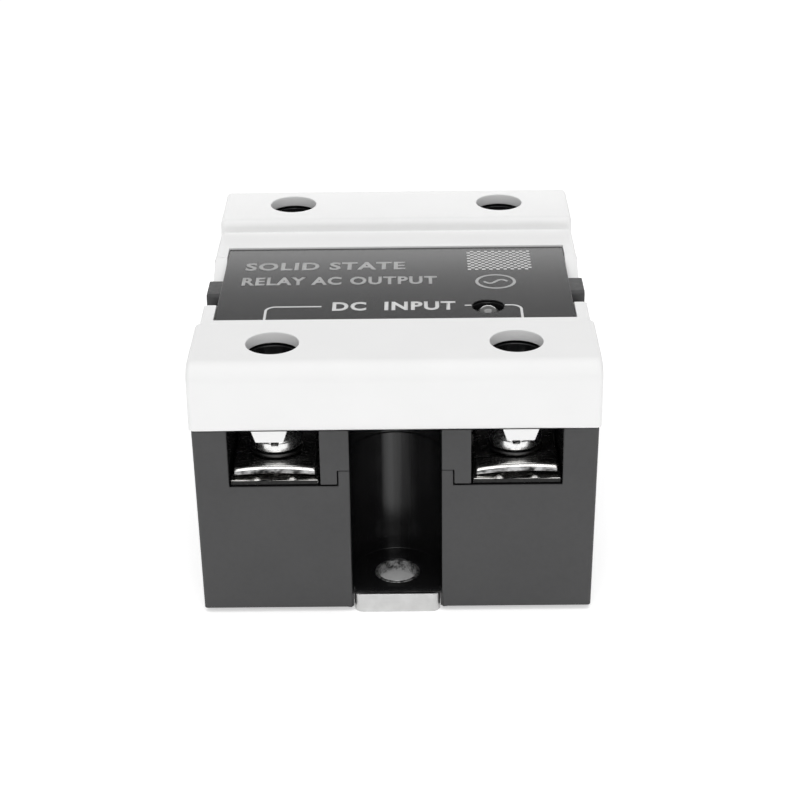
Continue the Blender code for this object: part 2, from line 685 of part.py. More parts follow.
def lock_washer(name, sides):
    """A split spring washer."""
    side, sign = sides
    centre = (side * SCREW_X, sign * SCREW_Y)
    inner, outer = WASHER_RADII
    washer_top = WASHER_BOTTOM + WASHER_THICKNESS
    washer = object_from(
        disc(centre, outer, WASHER_BOTTOM, washer_top), f"{name}_washer", "steel", (*centre, WASHER_BOTTOM)
    )
    slit = box(
        (centre[0] + inner - PAST, centre[1] - WASHER_SLIT / 2, WASHER_BOTTOM - PAST),
        (centre[0] + outer + PAST, centre[1] + WASHER_SLIT / 2, washer_top + PAST),
    )
    cut(washer, disc(centre, inner, WASHER_BOTTOM - PAST, washer_top + PAST), slit)
    smooth(washer)


def terminal_screw(name, sides):
    """A pan-head screw with a cross recess and a slot, its origin on its own axis, under the head."""
    side, sign = sides
    dome = [(HEAD_RADIUS * math.cos(math.radians(a)), HEAD_RIM + HEAD_DOME * math.sin(math.radians(a)))
            for a in (0, 22.5, 45, 67.5)]
    profile = [
        (0, -SHANK_LENGTH),
        (SHANK_RADIUS - TIP_CHAMFER, -SHANK_LENGTH),
        (SHANK_RADIUS, -SHANK_LENGTH + TIP_CHAMFER),
        (SHANK_RADIUS, 0),
        (HEAD_RADIUS, 0),
        *dome,
        (0, HEAD_RIM + HEAD_DOME),
    ]
    solid = turned(profile)
    centre = Vector((side * SCREW_X, sign * SCREW_Y, HEAD_BOTTOM))
    bmesh.ops.translate(solid, verts=solid.verts, vec=centre)
    screw = object_from(solid, f"{name}_screw", "steel", centre)
    top = HEAD_BOTTOM + HEAD_RIM + HEAD_DOME
    recess_arms = (
        (RECESS_LENGTH / 2, RECESS_WIDTH / 2, RECESS_DEPTH),
        (RECESS_WIDTH / 2, RECESS_LENGTH / 2, RECESS_DEPTH),
        (RECESS_WIDTH / 2 + HAIR, HEAD_RADIUS + PAST, SLOT_DEPTH),
    )
    for half_x, half_y, depth in recess_arms:
        cut(screw, box(
            (centre.x - half_x, centre.y - half_y, top - depth),
            (centre.x + half_x, centre.y + half_y, top + PAST),
        ))
    smooth(screw)


def indicator_led():
    """A 3 mm lamp on two long leads that stand on the board."""
    dome = [(LED_RADIUS * math.cos(math.radians(a)), LED_SHOULDER + LED_RADIUS * math.sin(math.radians(a)))
            for a in (0, 22.5, 45, 67.5)]
    flange_top = LED_BASE + LED_FLANGE_HEIGHT
    profile = [
        (0, LED_BASE),
        (LED_FLANGE_RADIUS, LED_BASE),
        (LED_FLANGE_RADIUS, flange_top),
        (LED_RADIUS, flange_top),
        *dome,
        (0, LED_SHOULDER + LED_RADIUS),
    ]
    solid = turned(profile, 24)
    bmesh.ops.translate(solid, verts=solid.verts, vec=(LED_X, LED_Y, 0))
    lamp = object_from(solid, "indicator_led", "led_epoxy")
    half = LED_LEAD_WIDTH / 2
    for x in (LED_X - LED_LEAD_X, LED_X + LED_LEAD_X):
        join(lamp, box((x - half, LED_Y - half, ON_BOARD), (x + half, LED_Y + half, LED_BASE + INTO)))
    smooth(lamp)


def standing_box(name, finish, centre, size, leg_spots):
    """A boxed component held above the board by square legs that are part of it."""
    x, y = centre
    half_x, half_y = size[0] / 2, size[1] / 2
    bottom = ON_BOARD + STANDING_LIFT
    component = object_from(
        box((x - half_x, y - half_y, bottom), (x + half_x, y + half_y, bottom + size[2])), name, finish
    )
    half = LEG_WIDTH / 2
    for leg_x, leg_y in leg_spots:
        join(component, box(
            (x + leg_x - half, y + leg_y - half, ON_BOARD),
            (x + leg_x + half, y + leg_y + half, bottom + INTO),
        ))


def axial_part(name, finish, centre, length, radius, lead_span):
    """A round component lying along X with a lead bent down to the board at each end."""
    x, y = centre
    axis_z = ON_BOARD + radius + AXIAL_LIFT
    half = AXIAL_LEAD_WIDTH / 2
    circle = [(y + across, axis_z + up) for across, up in arc((0, 0), radius, 0, 360, 20)[:-1]]
    component = object_from(prism(circle, "X", x - length / 2, x + length / 2), name, finish)
    join(component, box(
        (x - lead_span / 2, y - half, axis_z - half), (x + lead_span / 2, y + half, axis_z + half)
    ))
    for side in (-1, 1):
        outer = x + side * lead_span / 2
        inner = outer - side * AXIAL_LEAD_WIDTH
        # A hair narrower than the straight lead, so that no two faces lie in one plane
        join(component, box(
            (min(inner, outer) + HAIR, y - half + HAIR, ON_BOARD),
            (max(inner, outer) - HAIR, y + half - HAIR, axis_z + half - HAIR),
        ))
    smooth(component)


def circuit_board():
    """The board and the components on it."""
    board = box((-BOARD_HALF_WIDTH, BOARD_FRONT_Y, BOARD_BOTTOM), (BOARD_HALF_WIDTH, BOARD_BACK_Y, BOARD_TOP))
    object_from(board, "circuit_board", "board_green")
    for name, (finish, centre, size, leg_spots) in STANDING_PARTS.items():
        standing_box(name, finish, centre, size, leg_spots)
    for name, (finish, centre, length, radius, lead_span) in AXIAL_PARTS.items():
        axial_part(name, finish, centre, length, radius, lead_span)


def power_stage():
    """The ceramic on the base plate, two chips on it and the gel over them, clear of the bars' feet."""
    substrate = box((*SUBSTRATE_LOW, SUBSTRATE_BOTTOM), (*SUBSTRATE_HIGH, SUBSTRATE_TOP))
    object_from(substrate, "ceramic_substrate", "ceramic")
    for name, x in (("left", -CHIP_X), ("right", CHIP_X)):
        low = (x - CHIP_SIZE / 2, CHIP_Y - CHIP_SIZE / 2, CHIP_BOTTOM)
        high = (x + CHIP_SIZE / 2, CHIP_Y + CHIP_SIZE / 2, CHIP_TOP)
        object_from(box(low, high), f"thyristor_chip_{name}", "silicon")
    gel = box((-GEL_HALF_WIDTH, -GEL_HALF_LENGTH, GEL_BOTTOM), (GEL_HALF_WIDTH, GEL_HALF_LENGTH, GEL_TOP))
    gel = object_from(gel, "silicone_gel", "gel")
    for side in (-1, 1):
        cut(gel, mirrored_box(
            (side, 1),
            (SCREW_X - NECK_HALF_WIDTH - GAP, LEG_Y - FOOT_LENGTH - GAP, GEL_BOTTOM - PAST),
            (SCREW_X + NECK_HALF_WIDTH + GAP, CAVITY_HALF_LENGTH + PAST, GEL_TOP + PAST),
        ))


def main():
    clear_scene()
    base_plate()
    lower_housing()
    upper_housing()
    label()
    for end, sign in ENDS.items():
        terminal_cover(end, sign)
    for name, sides in TERMINALS.items():
        terminal_bar(name, sides)
        clamp_plate(name, sides)
        lock_washer(name, sides)
        terminal_screw(name, sides)
    indicator_led()
    circuit_board()
    power_stage()


main()
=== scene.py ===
"""The looks of a puck-style solid state relay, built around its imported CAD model.

Every visible CAD node gets a finer mesh in its place, with rounded edges, print, threads and drive
recesses. The hidden nodes keep their CAD solids and get procedural finishes. Lengths are in millimetres
in the frame's axes (+Z up, the input end towards -Y), and finish_piece turns them to metres.
"""

import math

import bmesh
import bpy
from mathutils import Matrix, Vector


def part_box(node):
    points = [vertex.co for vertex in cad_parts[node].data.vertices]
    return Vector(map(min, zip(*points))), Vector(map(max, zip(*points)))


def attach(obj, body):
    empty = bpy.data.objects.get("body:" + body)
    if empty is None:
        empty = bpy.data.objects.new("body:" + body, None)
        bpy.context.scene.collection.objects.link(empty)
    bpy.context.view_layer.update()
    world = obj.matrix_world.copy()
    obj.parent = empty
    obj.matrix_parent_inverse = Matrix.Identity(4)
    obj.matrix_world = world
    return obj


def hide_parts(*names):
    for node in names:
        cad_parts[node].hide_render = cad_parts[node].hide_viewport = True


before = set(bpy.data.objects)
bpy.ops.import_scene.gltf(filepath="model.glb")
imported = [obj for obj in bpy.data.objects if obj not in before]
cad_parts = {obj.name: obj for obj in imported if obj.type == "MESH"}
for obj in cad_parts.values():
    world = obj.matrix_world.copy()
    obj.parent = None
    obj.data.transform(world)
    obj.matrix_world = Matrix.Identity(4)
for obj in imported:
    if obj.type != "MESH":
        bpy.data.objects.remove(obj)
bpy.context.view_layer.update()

MM = 0.001
PAST = 1.0  # how far a cutter runs past the wall it cuts
INTO = 0.4  # how far one joined shape reaches into the other
BEYOND = 40  # clear of the whole relay in any direction
SLIVER = 0.02  # keeps two faces out of one plane
NEAR = 0.05  # tolerance of the tests that pick faces by their place
ENDS = {"front": -1, "rear": 1}
TERMINALS = {
    "input_positive": (-1, -1),
    "input_negative": (1, -1),
    "output_line": (-1, 1),
    "output_load": (1, 1),
}


def span(node):
    """A CAD node's lowest and highest corner in millimetres."""
    low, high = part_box(node)
    return low / MM, high / MM


# Read from the frame
PLATE_HIGH = span("base_plate")[1]
LOWER_LOW, LOWER_HIGH = span("lower_housing")
UPPER_LOW, UPPER_HIGH = span("upper_housing")
COVER_LOW, COVER_HIGH = span("rear_cover")
LABEL_LOW, LABEL_HIGH = span("label")
BAR_LOW, BAR_HIGH = span("output_load_bar")
CLAMP_LOW, CLAMP_HIGH = span("output_load_clamp")
WASHER_LOW, WASHER_HIGH = span("output_load_washer")
SCREW_LOW, SCREW_HIGH = span("output_load_screw")
LAMP_LOW, LAMP_HIGH = span("indicator_led")

# Edge rounding
HOUSING_ROUNDING = 0.12
UPRIGHT_ROUNDING = 0.3
COVER_ROUNDING = 0.13
FILM_ROUNDING = 0.05
BAR_ROUNDING = 0.11
CLAMP_ROUNDING = 0.1
WASHER_ROUNDING = 0.08
SCREW_ROUNDING = 0.07

# Base plate and its ears
PLATE_END = 25.6
PLATE_THICKNESS = 2.42
PLATE_CORNER = 1.0
EAR_HALF_WIDTH = 5.0
EAR_CORNER = 1.0
HOLE_Y = 23.8
HOLE_RADIUS = 2.25
COLLAR_RADIUS = 2.65

# Lower housing
GAP = 0.3  # clearance between parts, where none of it shows
HAIR = 0.04  # the gap shown where two parts of the real thing touch
WALL = 1.6
CORNER_RADIUS = 0.35
SHOULDER = 23.75
RIM_INSET = 0.8
RIM_END_INSET = 0.6
BODY_DRAFT = 0.25  # how much wider each side is at the shoulder than at the foot
FLOOR_TOP = PLATE_HIGH.z
FLOOR_RECESS = 0.12  # of the floor's open edge behind the end face
FLOOR_SLOPE = 0.8  # how far back the floor's open edge is sloped off
# the cheeks are black blocks in the gap beside each ear that stand in for the shade there
SHADE_CHEEK_DEPTH = 1.0  # of the cheeks that close the gap beside each ear
CHANNEL_RADIUS = 5.2
CHAMBER_INNER_X = 8.6
CHAMBER_OUTER_X = 18.8
CHAMBER_BACK_Y = 16.6
SILL = 16.65
TIP_HOLE_RADIUS = 2.5  # of the blind hole that the screw's tip runs down into
TIP_HOLE_DEPTH = 6.5
CAVITY_HALF_WIDTH = 20.3
CAVITY_HALF_LENGTH = 15.0
UNPOLISHED_END = 0.25  # depth of the end faces' own rounding, which keeps the body's grain

# Upper housing, whose piers and tongues fill the ends beside the windows
SEAM = 18.6
SEAM_GAP = 0.12
SEAT_GAP = 0.03
PIER_HALF_WIDTH = CHAMBER_INNER_X - 0.1
PIER_TOP = 28.4
TONGUE_INNER_X = 6.6
TONGUE_DEPTH = 1.5
PLUG_BOTTOM = 23.5
DECK_BOTTOM = 26.3
DECK_UNDERSIDE = 27.5
DECK_TOP = 28.9
DECK_HALF_WIDTH = 21.3
DECK_HALF_LENGTH = 15.6
LINK_BOTTOM = 27.9
PLATFORM_HALF_WIDTH = LABEL_HIGH.x
PLATFORM_TOP = LABEL_LOW.z - 0.1
LUG_HALF_LENGTH = 2.4
LUG_CORNER = 0.5
LUG_BOTTOM = 24.1
LUG_TOP = 29.3
LUG_INNER_X = 22.0
LUG_NECK_BOTTOM = 26.4

# Indicator lamp
LED_X = (LAMP_LOW.x + LAMP_HIGH.x) / 2
LED_Y = (LAMP_LOW.y + LAMP_HIGH.y) / 2
LED_HOLE_RADIUS = 1.95
LED_BASE = 25.0
LED_SHOULDER = 28.55
LED_RADIUS = 1.5
LED_FLANGE_THICKNESS = 0.8
LED_LEAD_X = 0.64
LED_LEAD_HALF_WIDTH = 0.25

# Terminal covers
COVER_BOTTOM = 24.05
COVER_WALL = 0.9
ROOF = 1.4
END_FILLET = 2.2
INNER_FILLET = 1.0
SIDE_ROUNDING = 0.7
HOOD_INNER_Y = 16.1
LEDGE_TOP = 30.3
LEDGE_THICKNESS = 1.1
WINDOW_GAP = 0.06
WINDOW_HALF_WIDTH = PLATFORM_HALF_WIDTH + WINDOW_GAP
ARM_SHELF = 26.3
ARM_END_Y = LUG_HALF_LENGTH + GAP
SCOOP_RADIUS = 13.0
SCOOP_HALF_LENGTH = 7.8
DRIVER_HOLE_RADIUS = 3.0
TAB_X = 14.0
TAB_TOP_HALF = 2.05
TAB_BOTTOM_HALF = 1.55

# The upper housing's canopy over the terminals, under the covers
CANOPY_HALF_WIDTH = COVER_HIGH.x - COVER_WALL - GAP
CANOPY_INNER_Y = HOOD_INNER_Y + COVER_WALL + GAP
CANOPY_OUTER_Y = COVER_HIGH.y - COVER_WALL - GAP
CANOPY_TOP = COVER_HIGH.z - ROOF - GAP

# Terminal stack
SCREW_X = (SCREW_LOW.x + SCREW_HIGH.x) / 2
SCREW_Y = (SCREW_LOW.y + SCREW_HIGH.y) / 2
BAR_THICKNESS = 0.6
BAR_HOLE_RADIUS = 2.15
NECK_HALF_WIDTH = 3.0
LEG_Y = 13.0
FOOT_LENGTH = 3.0
RIDGE_X = 2.0  # of the two pressed ridges at each bar's outer end, from its middle
RIDGE_HALF_WIDTH = 0.28
RIDGE_RISE = 0.16
RIDGE_LENGTH = 1.2
CLAMP_THICKNESS = 0.8
CLAMP_ARCH = 0.35
CLAMP_UNDER_ARCH = 0.22
CLAMP_ROLL = 0.55  # radius of the upper edge at each end
CLAMP_HOLE_RADIUS = 2.3
CLAMP_TILT = {"input_negative": -2.0}  # degrees; this one was left a little askew
WASHER_INNER_RADIUS = 2.15
WASHER_SLIT = 0.4
HEAD_RIM = 1.1
HEAD_DOME = 0.4
HEAD_CHAMFER = 0.12
SHANK_RADIUS = 1.9
SHANK_LENGTH = 8.5
THREAD_PITCH = 0.7
THREAD_DEPTH = 0.38
TIP_TAPER = 0.75
RECESS_LENGTH = 3.4
RECESS_WIDTH = 0.75
RECESS_DEPTH = 0.9
SLOT_DEPTH = 0.55

# Print on the label
INK_THICKNESS = 0.02
INK_LIFT = 0.005
PRINT_MARGIN = 0.1
LEAD_Y = -8.05
LEAD_CORNER = 1.2
LEAD_WIDTH = 0.3
LETTER_BOLDNESS = 0.035
MARK_CENTRE = (12.3, -0.75)
MARK_SIZE = (2.5, 2.3)
MARK_STROKE = 0.38
WAVE_HALF_LENGTH = 1.45
WAVE_HEIGHT = 0.55
CHEQUER_CORNER = (9.0, 3.05)
CHEQUER_SIZE = (8.0, 6.4)
CHEQUER_CELLS = (18, 14)
CHEQUER_FILL = 0.98  # of a cell's side

# Stage
FLOOR_HALF_SIZE = 1500
FLOOR_GLOW = 0.45
WORLD_STRENGTH = 0.36
CAMERA_PLACE = (2.20, -213.8, 118.6)
CAMERA_PITCH, CAMERA_YAW, CAMERA_ROLL = 26.156, 0.493, -0.754  # degrees
FOCAL_LENGTH = 84.35
SENSOR_WIDTH = 36.0


# ---------------------------------------------------------------- meshes

def box(low, high):
    """A bmesh box between two corners."""
    bm = bmesh.new()
    bmesh.ops.create_cube(bm, size=1.0)
    bmesh.ops.scale(bm, verts=bm.verts, vec=Vector(high) - Vector(low))
    bmesh.ops.translate(bm, verts=bm.verts, vec=(Vector(high) + Vector(low)) / 2)
    return bm


def mirrored_box(sides, low, high):
    """A box given for the +X, +Y corner of the relay, turned to the corner that sides (x, y) names."""
    corners = [[sides[axis] * end[axis] for axis in (0, 1)] + [end[2]] for end in (low, high)]
    return box(list(map(min, *corners)), list(map(max, *corners)))


def end_box(sign, half_width, low, high):
    """A box across the middle of the front or the rear end, from (y, z) to (y, z)."""
    return mirrored_box((1, sign), (-half_width, *low), (half_width, *high))


def skin(bm, rings):
    """Faces from each ring of points to the next. A ring of a single point is a tip."""
    segments = max(len(ring) for ring in rings)
    for lower, upper in zip(rings, rings[1:]):
        for i in range(segments):
            j = (i + 1) % segments
            corners = [lower[i % len(lower)], lower[j % len(lower)]]
            corners += [upper[j % len(upper)], upper[i % len(upper)]]
            bm.faces.new(list(dict.fromkeys(corners)))


def prism(outline, axis, start, end):
    """A closed outline swept along an axis: X takes (y, z) points, Y takes (x, z) and Z takes (x, y)."""
    places = {
        "X": lambda u, v, along: (along, u, v),
        "Y": lambda u, v, along: (u, along, v),
        "Z": lambda u, v, along: (u, v, along),
    }
    bm = bmesh.new()
    rings = [[bm.verts.new(places[axis](u, v, along)) for u, v in outline] for along in (start, end)]
    bm.faces.new(rings[0])
    bm.faces.new(reversed(rings[1]))
    skin(bm, rings)
    bmesh.ops.recalc_face_normals(bm, faces=bm.faces)
    return bm


def arc(centre, radius, from_degrees, to_degrees, segments=10):
    """The points of an arc, both ends included."""
    points = []
    for step in range(segments + 1):
        angle = math.radians(from_degrees + (to_degrees - from_degrees) * step / segments)
        points.append((centre[0] + radius * math.cos(angle), centre[1] + radius * math.sin(angle)))
    return points


def rounded_rectangle(half_width, half_length, radius, segments=6):
    """The outline of a rectangle about the origin with round corners."""
    outline = []
    for sign_x, sign_y, start in ((1, 1, 0), (-1, 1, 90), (-1, -1, 180), (1, -1, 270)):
        centre = (sign_x * (half_width - radius), sign_y * (half_length - radius))
        outline += arc(centre, radius, start, start + 90, segments)
    return outline


def disc(centre, radius, low, high, segments=64):
    """A round prism along Z."""
    return prism(arc(centre, radius, 0, 360, segments)[:-1], "Z", low, high)


def screw_axis(sides):
    """The (x, y) of a terminal screw."""
    return (sides[0] * SCREW_X, sides[1] * SCREW_Y)


def bore(sides, radius, low, high, segments=64):
    """A round prism about a terminal screw's axis."""
    return disc(screw_axis(sides), radius, low, high, segments)


def turned(profile, centre=(0, 0, 0), segments=64):
    """A solid turned about Z from (radius, z) points that start and end on the axis."""
    bm = bmesh.new()
    rings = []
    for radius, z in profile:
        if radius == 0:
            rings.append([bm.verts.new((0, 0, z))])
        else:
            rings.append([bm.verts.new((x, y, z)) for x, y in arc((0, 0), radius, 0, 360, segments)[:-1]])
    skin(bm, rings)
    bmesh.ops.recalc_face_normals(bm, faces=bm.faces)
    bmesh.ops.translate(bm, verts=bm.verts, vec=centre)
    return bm


def add_to(bm, addition):
    """Puts a second bmesh into the first, and frees it."""
    mesh = bpy.data.meshes.new("addition")
    addition.to_mesh(mesh)
    addition.free()
    bm.from_mesh(mesh)
    bpy.data.meshes.remove(mesh)


def object_from(bm, name):
    """An object, still in millimetres, from a bmesh."""
    bmesh.ops.recalc_face_normals(bm, faces=bm.faces)
    mesh = bpy.data.meshes.new(name)
    bm.to_mesh(mesh)
    bm.free()
    obj = bpy.data.objects.new(name, mesh)
    bpy.context.scene.collection.objects.link(obj)
    return obj


def settle(obj):
    """Gives obj the mesh that its modifiers make, and removes them and their helper objects."""
    bpy.context.view_layer.update()
    evaluated = obj.evaluated_get(bpy.context.evaluated_depsgraph_get())
    mesh = bpy.data.meshes.new_from_object(evaluated)
    helpers = [modifier.object for modifier in obj.modifiers if modifier.type == "BOOLEAN"]
    obj.modifiers.clear()
    obj.data = mesh
    for helper in helpers:
        bpy.data.objects.remove(helper, do_unlink=True)


def combine(obj, shapes, operation):
    """Cuts shapes from obj or joins them to it, one after another."""
    for shape in shapes:
        modifier = obj.modifiers.new(operation.title(), "BOOLEAN")
        modifier.operation = operation
        modifier.solver = "EXACT"
        modifier.object = object_from(shape, f"{obj.name}_helper")
    settle(obj)


def cut(obj, *shapes):
    combine(obj, shapes, "DIFFERENCE")


def join(obj, *shapes):
    combine(obj, shapes, "UNION")


def clean_bmesh(obj):
    """A bmesh of obj without the stray points and split faces that the Booleans leave."""
    bm = bmesh.new()
    bm.from_mesh(obj.data)
    bmesh.ops.remove_doubles(bm, verts=bm.verts, dist=0.002)
    bmesh.ops.dissolve_limit(bm, angle_limit=math.radians(0.3), verts=bm.verts, edges=bm.edges)
    return bm


def bevel_edges(bm, edges, radius, segments):
    bmesh.ops.bevel(
        bm, geom=edges, offset=radius, segments=segments, profile=0.5, affect="EDGES", clamp_overlap=True
    )


def round_edges(obj, width, segments=3, degrees=32):
    """Rounds every edge sharper than an angle."""
    bm = clean_bmesh(obj)
    bm.to_mesh(obj.data)
    bm.free()
    bevel = obj.modifiers.new("Bevel", "BEVEL")
    bevel.width = width
    bevel.segments = segments
    bevel.limit_method = "ANGLE"
    bevel.angle_limit = math.radians(degrees)
    bevel.use_clamp_overlap = False
    bevel.miter_outer = "MITER_ARC"
    settle(obj)


def round_uprights(obj, width, shortest=2.5):
    """Rounds the long sharp edges that stand along Z more than the rest."""
    bm = clean_bmesh(obj)
    uprights = []
    for edge in bm.edges:
        along = edge.verts[1].co - edge.verts[0].co
        upright = Vector((along.x, along.y)).length < 1e-4 and along.length > shortest
        if upright and len(edge.link_faces) == 2 and edge.calc_face_angle_signed(0) > math.radians(60):
            uprights.append(edge)
    bevel_edges(bm, uprights, width, 4)
    bm.to_mesh(obj.data)
    bm.free()


def finish_piece(obj, material, body, nodes):
    """Metres, shading, material and the frame's own facts: what the piece rides on and stands for."""
    obj.data.transform(Matrix.Scale(MM, 4))
    obj.data.shade_smooth()
    weighted = obj.modifiers.new("Normals", "WEIGHTED_NORMAL")
    weighted.weight = 60
    settle(obj)
    if not obj.data.materials:
        obj.data.materials.append(material)
    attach(obj, body)
    if nodes:
        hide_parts(*nodes)


def paint(obj, material, second, chosen):
    """One material all over, and a second on the faces whose centre, in millimetres, and normal pass."""
    obj.data.materials.append(material)
    obj.data.materials.append(second)
    for face in obj.data.polygons:
        if chosen(face.center, face.normal):
            face.material_index = 1


# ---------------------------------------------------------------- finishes

class Surface:
    """One procedural material: a Principled shader, with short calls for the nodes that feed it."""

    def __init__(self, name, **sockets):
        self.material = bpy.data.materials.new(name)
        self.material.use_nodes = True
        self.tree = self.material.node_tree
        self.shader = self.tree.nodes["Principled BSDF"]
        for socket, value in sockets.items():
            self.shader.inputs[socket.replace("_", " ")].default_value = value
        self.place = self.node("ShaderNodeTexCoord").outputs["Object"]

    def node(self, kind, inputs=None, **settings):
        made = self.tree.nodes.new(kind)
        for key, value in settings.items():
            setattr(made, key, value)
        for key, value in (inputs or {}).items():
            if isinstance(value, bpy.types.NodeSocket):
                self.tree.links.new(value, made.inputs[key])
            else:
                made.inputs[key].default_value = value
        return made

    def stretched(self, stretch):
        """The place on the object, squeezed so that a pattern is drawn out by these factors."""
        scale = [1 / s for s in stretch]
        return self.node("ShaderNodeMapping", {"Vector": self.place, "Scale": scale}).outputs["Vector"]

    def noise(self, size, detail=2.0, stretch=None, roughness=0.5):
        """Noise whose blobs are about size millimetres across."""
        place = self.stretched(stretch) if stretch else self.place
        inputs = {"Vector": place, "Scale": 1 / (size * MM), "Detail": detail, "Roughness": roughness}
        return self.node("ShaderNodeTexNoise", inputs).outputs["Fac"]

    def cells(self, size, feature="F1", randomness=1.0):
        inputs = {"Vector": self.place, "Scale": 1 / (size * MM), "Randomness": randomness}
        return self.node("ShaderNodeTexVoronoi", inputs, feature=feature).outputs["Distance"]

    def spread(self, value, low, high, to_low, to_high):
        """value from low..high turned to to_low..to_high."""
        inputs = {"Value": value, "From Min": low, "From Max": high, "To Min": to_low, "To Max": to_high}
        return self.node("ShaderNodeMapRange", inputs).outputs["Result"]

    def blend(self, factor, first, second):
        """A colour between two greys or colours."""
        made = self.node("ShaderNodeMix", data_type="RGBA")
        self.tree.links.new(factor, made.inputs[0])
        for socket, value in ((made.inputs[6], first), (made.inputs[7], second)):
            if isinstance(value, bpy.types.NodeSocket):
                self.tree.links.new(value, socket)
            else:
                socket.default_value = (*value, 1.0)
        return made.outputs[2]

    def feed(self, socket, value):
        self.tree.links.new(value, self.shader.inputs[socket])

    def colour(self, size, detail, dark, light):
        """A base colour that drifts between two."""
        self.feed("Base Color", self.blend(self.noise(size, detail), dark, light))

    def gloss(self, size, detail, low, high, stretch=None):
        """A roughness that drifts between two values."""
        self.feed("Roughness", self.spread(self.noise(size, detail, stretch), 0.3, 0.7, low, high))

    def bump(self, *layers):
        """Each layer is (height, depth in millimetres, strength)."""
        normal = None
        for height, depth, strength in layers:
            inputs = {"Height": height, "Distance": depth * MM, "Strength": strength}
            if normal:
                inputs["Normal"] = normal
            normal = self.node("ShaderNodeBump", inputs).outputs["Normal"]
        self.feed("Normal", normal)


def grey(value):
    return (value,) * 3


def black_moulding():
    """Spark-eroded black thermoplastic."""
    s = Surface("black_moulding", IOR=1.5)
    s.colour(5.0, 4, (0.036, 0.036, 0.037), (0.046, 0.046, 0.047))
    s.gloss(0.5, 3, 0.42, 0.55)
    s.bump((s.noise(0.16, 3), 0.012, 0.5), (s.cells(0.3), 0.006, 0.3))
    return s.material


def polished_moulding_painted_shade():
    """The same plastic with a high mould polish, in the channels and chambers. Its colour is set far darker
    than the body's: painted shade.
    """
    s = Surface("polished_moulding_painted_shade", IOR=1.5)
    # painted shade: a base colour far below the body's, so these hollows read darker than the same plastic
    # outside
    s.colour(4.0, 3, (0.006, 0.006, 0.0065), (0.01, 0.01, 0.0105))
    s.gloss(2.5, 3, 0.17, 0.25)
    draw_marks_and_reflection_stripes = s.noise(1.6, 2, (1, 1, 60))
    # painted reflection: the reflection strength runs in vertical stripes with the draw marks, streaking the
    # channel walls; the marks' bump is real
    s.feed("Specular IOR Level", s.spread(draw_marks_and_reflection_stripes, 0.36, 0.64, 0.18, 0.6))
    s.bump((draw_marks_and_reflection_stripes, 0.08, 0.5), (s.noise(1.6, 2), 0.006, 0.25), (s.noise(0.12, 2), 0.002, 0.3))
    return s.material


def white_moulding():
    """Satin white thermoplastic of the terminal covers."""
    s = Surface("white_moulding", IOR=1.46)
    s.colour(7.0, 4, (0.83, 0.83, 0.828), (0.87, 0.87, 0.868))
    s.gloss(0.6, 3, 0.42, 0.55)
    s.bump((s.noise(0.22, 3), 0.008, 0.4))
    return s.material


def label_film():
    """Black printed polyester film with a fine matt grain."""
    s = Surface("label_film", IOR=1.5)
    s.colour(3.0, 4, (0.008, 0.008, 0.0085), (0.014, 0.014, 0.0145))
    s.gloss(0.4, 3, 0.2, 0.27)
    s.bump((s.noise(0.12, 2), 0.002, 0.3), (s.noise(9.0, 1), 0.02, 0.3))
    return s.material


def print_ink(name, thin, full):
    """Light screen print with thin patches."""
    s = Surface(name, IOR=1.45)
    s.colour(0.35, 4, grey(thin), grey(full))
    s.gloss(0.3, 2, 0.45, 0.6)
    s.bump((s.noise(0.1, 2), 0.004, 0.4))
    return s.material


def plate_metal():
    """Cut and tumbled aluminium plate: long fine grain along X, with small dents."""
    s = Surface("plate_metal", Metallic=1.0)
    grain = s.noise(0.12, 3, (30, 1, 1))
    s.colour(1.2, 4, (0.5, 0.5, 0.495), (0.66, 0.66, 0.655))
    s.feed("Roughness", s.spread(grain, 0.3, 0.7, 0.3, 0.48))
    s.bump((grain, 0.008, 0.5), (s.noise(0.8, 3), 0.01, 0.3))
    return s.material


def drilled_metal():
    """The wall of a punched hole: plain grey lower down, darker in patches towards the top."""
    s = Surface("drilled_metal", Metallic=0.85)
    height = s.node("ShaderNodeSeparateXYZ", {"Vector": s.place}).outputs["Z"]
    # darker towards the top: between 1.35 and 1.75 mm up, the colour turns from plain grey to dark patches
    torn = s.spread(height, 1.35 * MM, 1.75 * MM, 0.0, 1.0)
    dark_patches = s.spread(s.noise(0.6, 5, (1, 1, 1), 0.7), 0.4, 0.6, 0.0, 1.0)
    s.feed("Base Color", s.blend(torn, grey(0.4), s.blend(dark_patches, grey(0.05), grey(0.42))))
    s.gloss(0.3, 3, 0.35, 0.55)
    s.bump((s.noise(0.25, 4), 0.02, 0.5))
    return s.material


def nickel():
    """Bright nickel over rolled and stamped steel."""
    s = Surface("nickel", Metallic=1.0)
    s.colour(0.9, 4, (0.74, 0.73, 0.71), (0.86, 0.85, 0.83))
    s.gloss(0.35, 3, 0.14, 0.3, (6, 1, 1))
    s.bump((s.noise(0.5, 3), 0.012, 0.4), (s.noise(0.1, 2, (12, 1, 1)), 0.004, 0.4))
    return s.material


def sheared_edge():
    """The dull, torn edge that stamping leaves on plated strip."""
    s = Surface("sheared_edge", Metallic=1.0)
    patches = s.spread(s.noise(0.5, 4, (2, 1, 1)), 0.38, 0.62, 0.0, 1.0)
    s.feed("Base Color", s.blend(patches, grey(0.03), grey(0.55)))
    s.gloss(0.2, 3, 0.4, 0.6)
    s.bump((s.noise(0.25, 3, (2, 1, 1)), 0.03, 0.6))
    return s.material


def bar_end_painted_shade():
    """Near-black dull finish on the cut ends of the terminal bars: painted shade."""
    s = Surface("bar_end_painted_shade", Specular_IOR_Level=0.15)
    # painted shade: near-black, so the bars' cut ends read dark
    s.colour(0.3, 4, grey(0.006), grey(0.045))
    s.gloss(0.2, 3, 0.45, 0.65)
    s.bump((s.noise(0.2, 3), 0.02, 0.5))
    return s.material


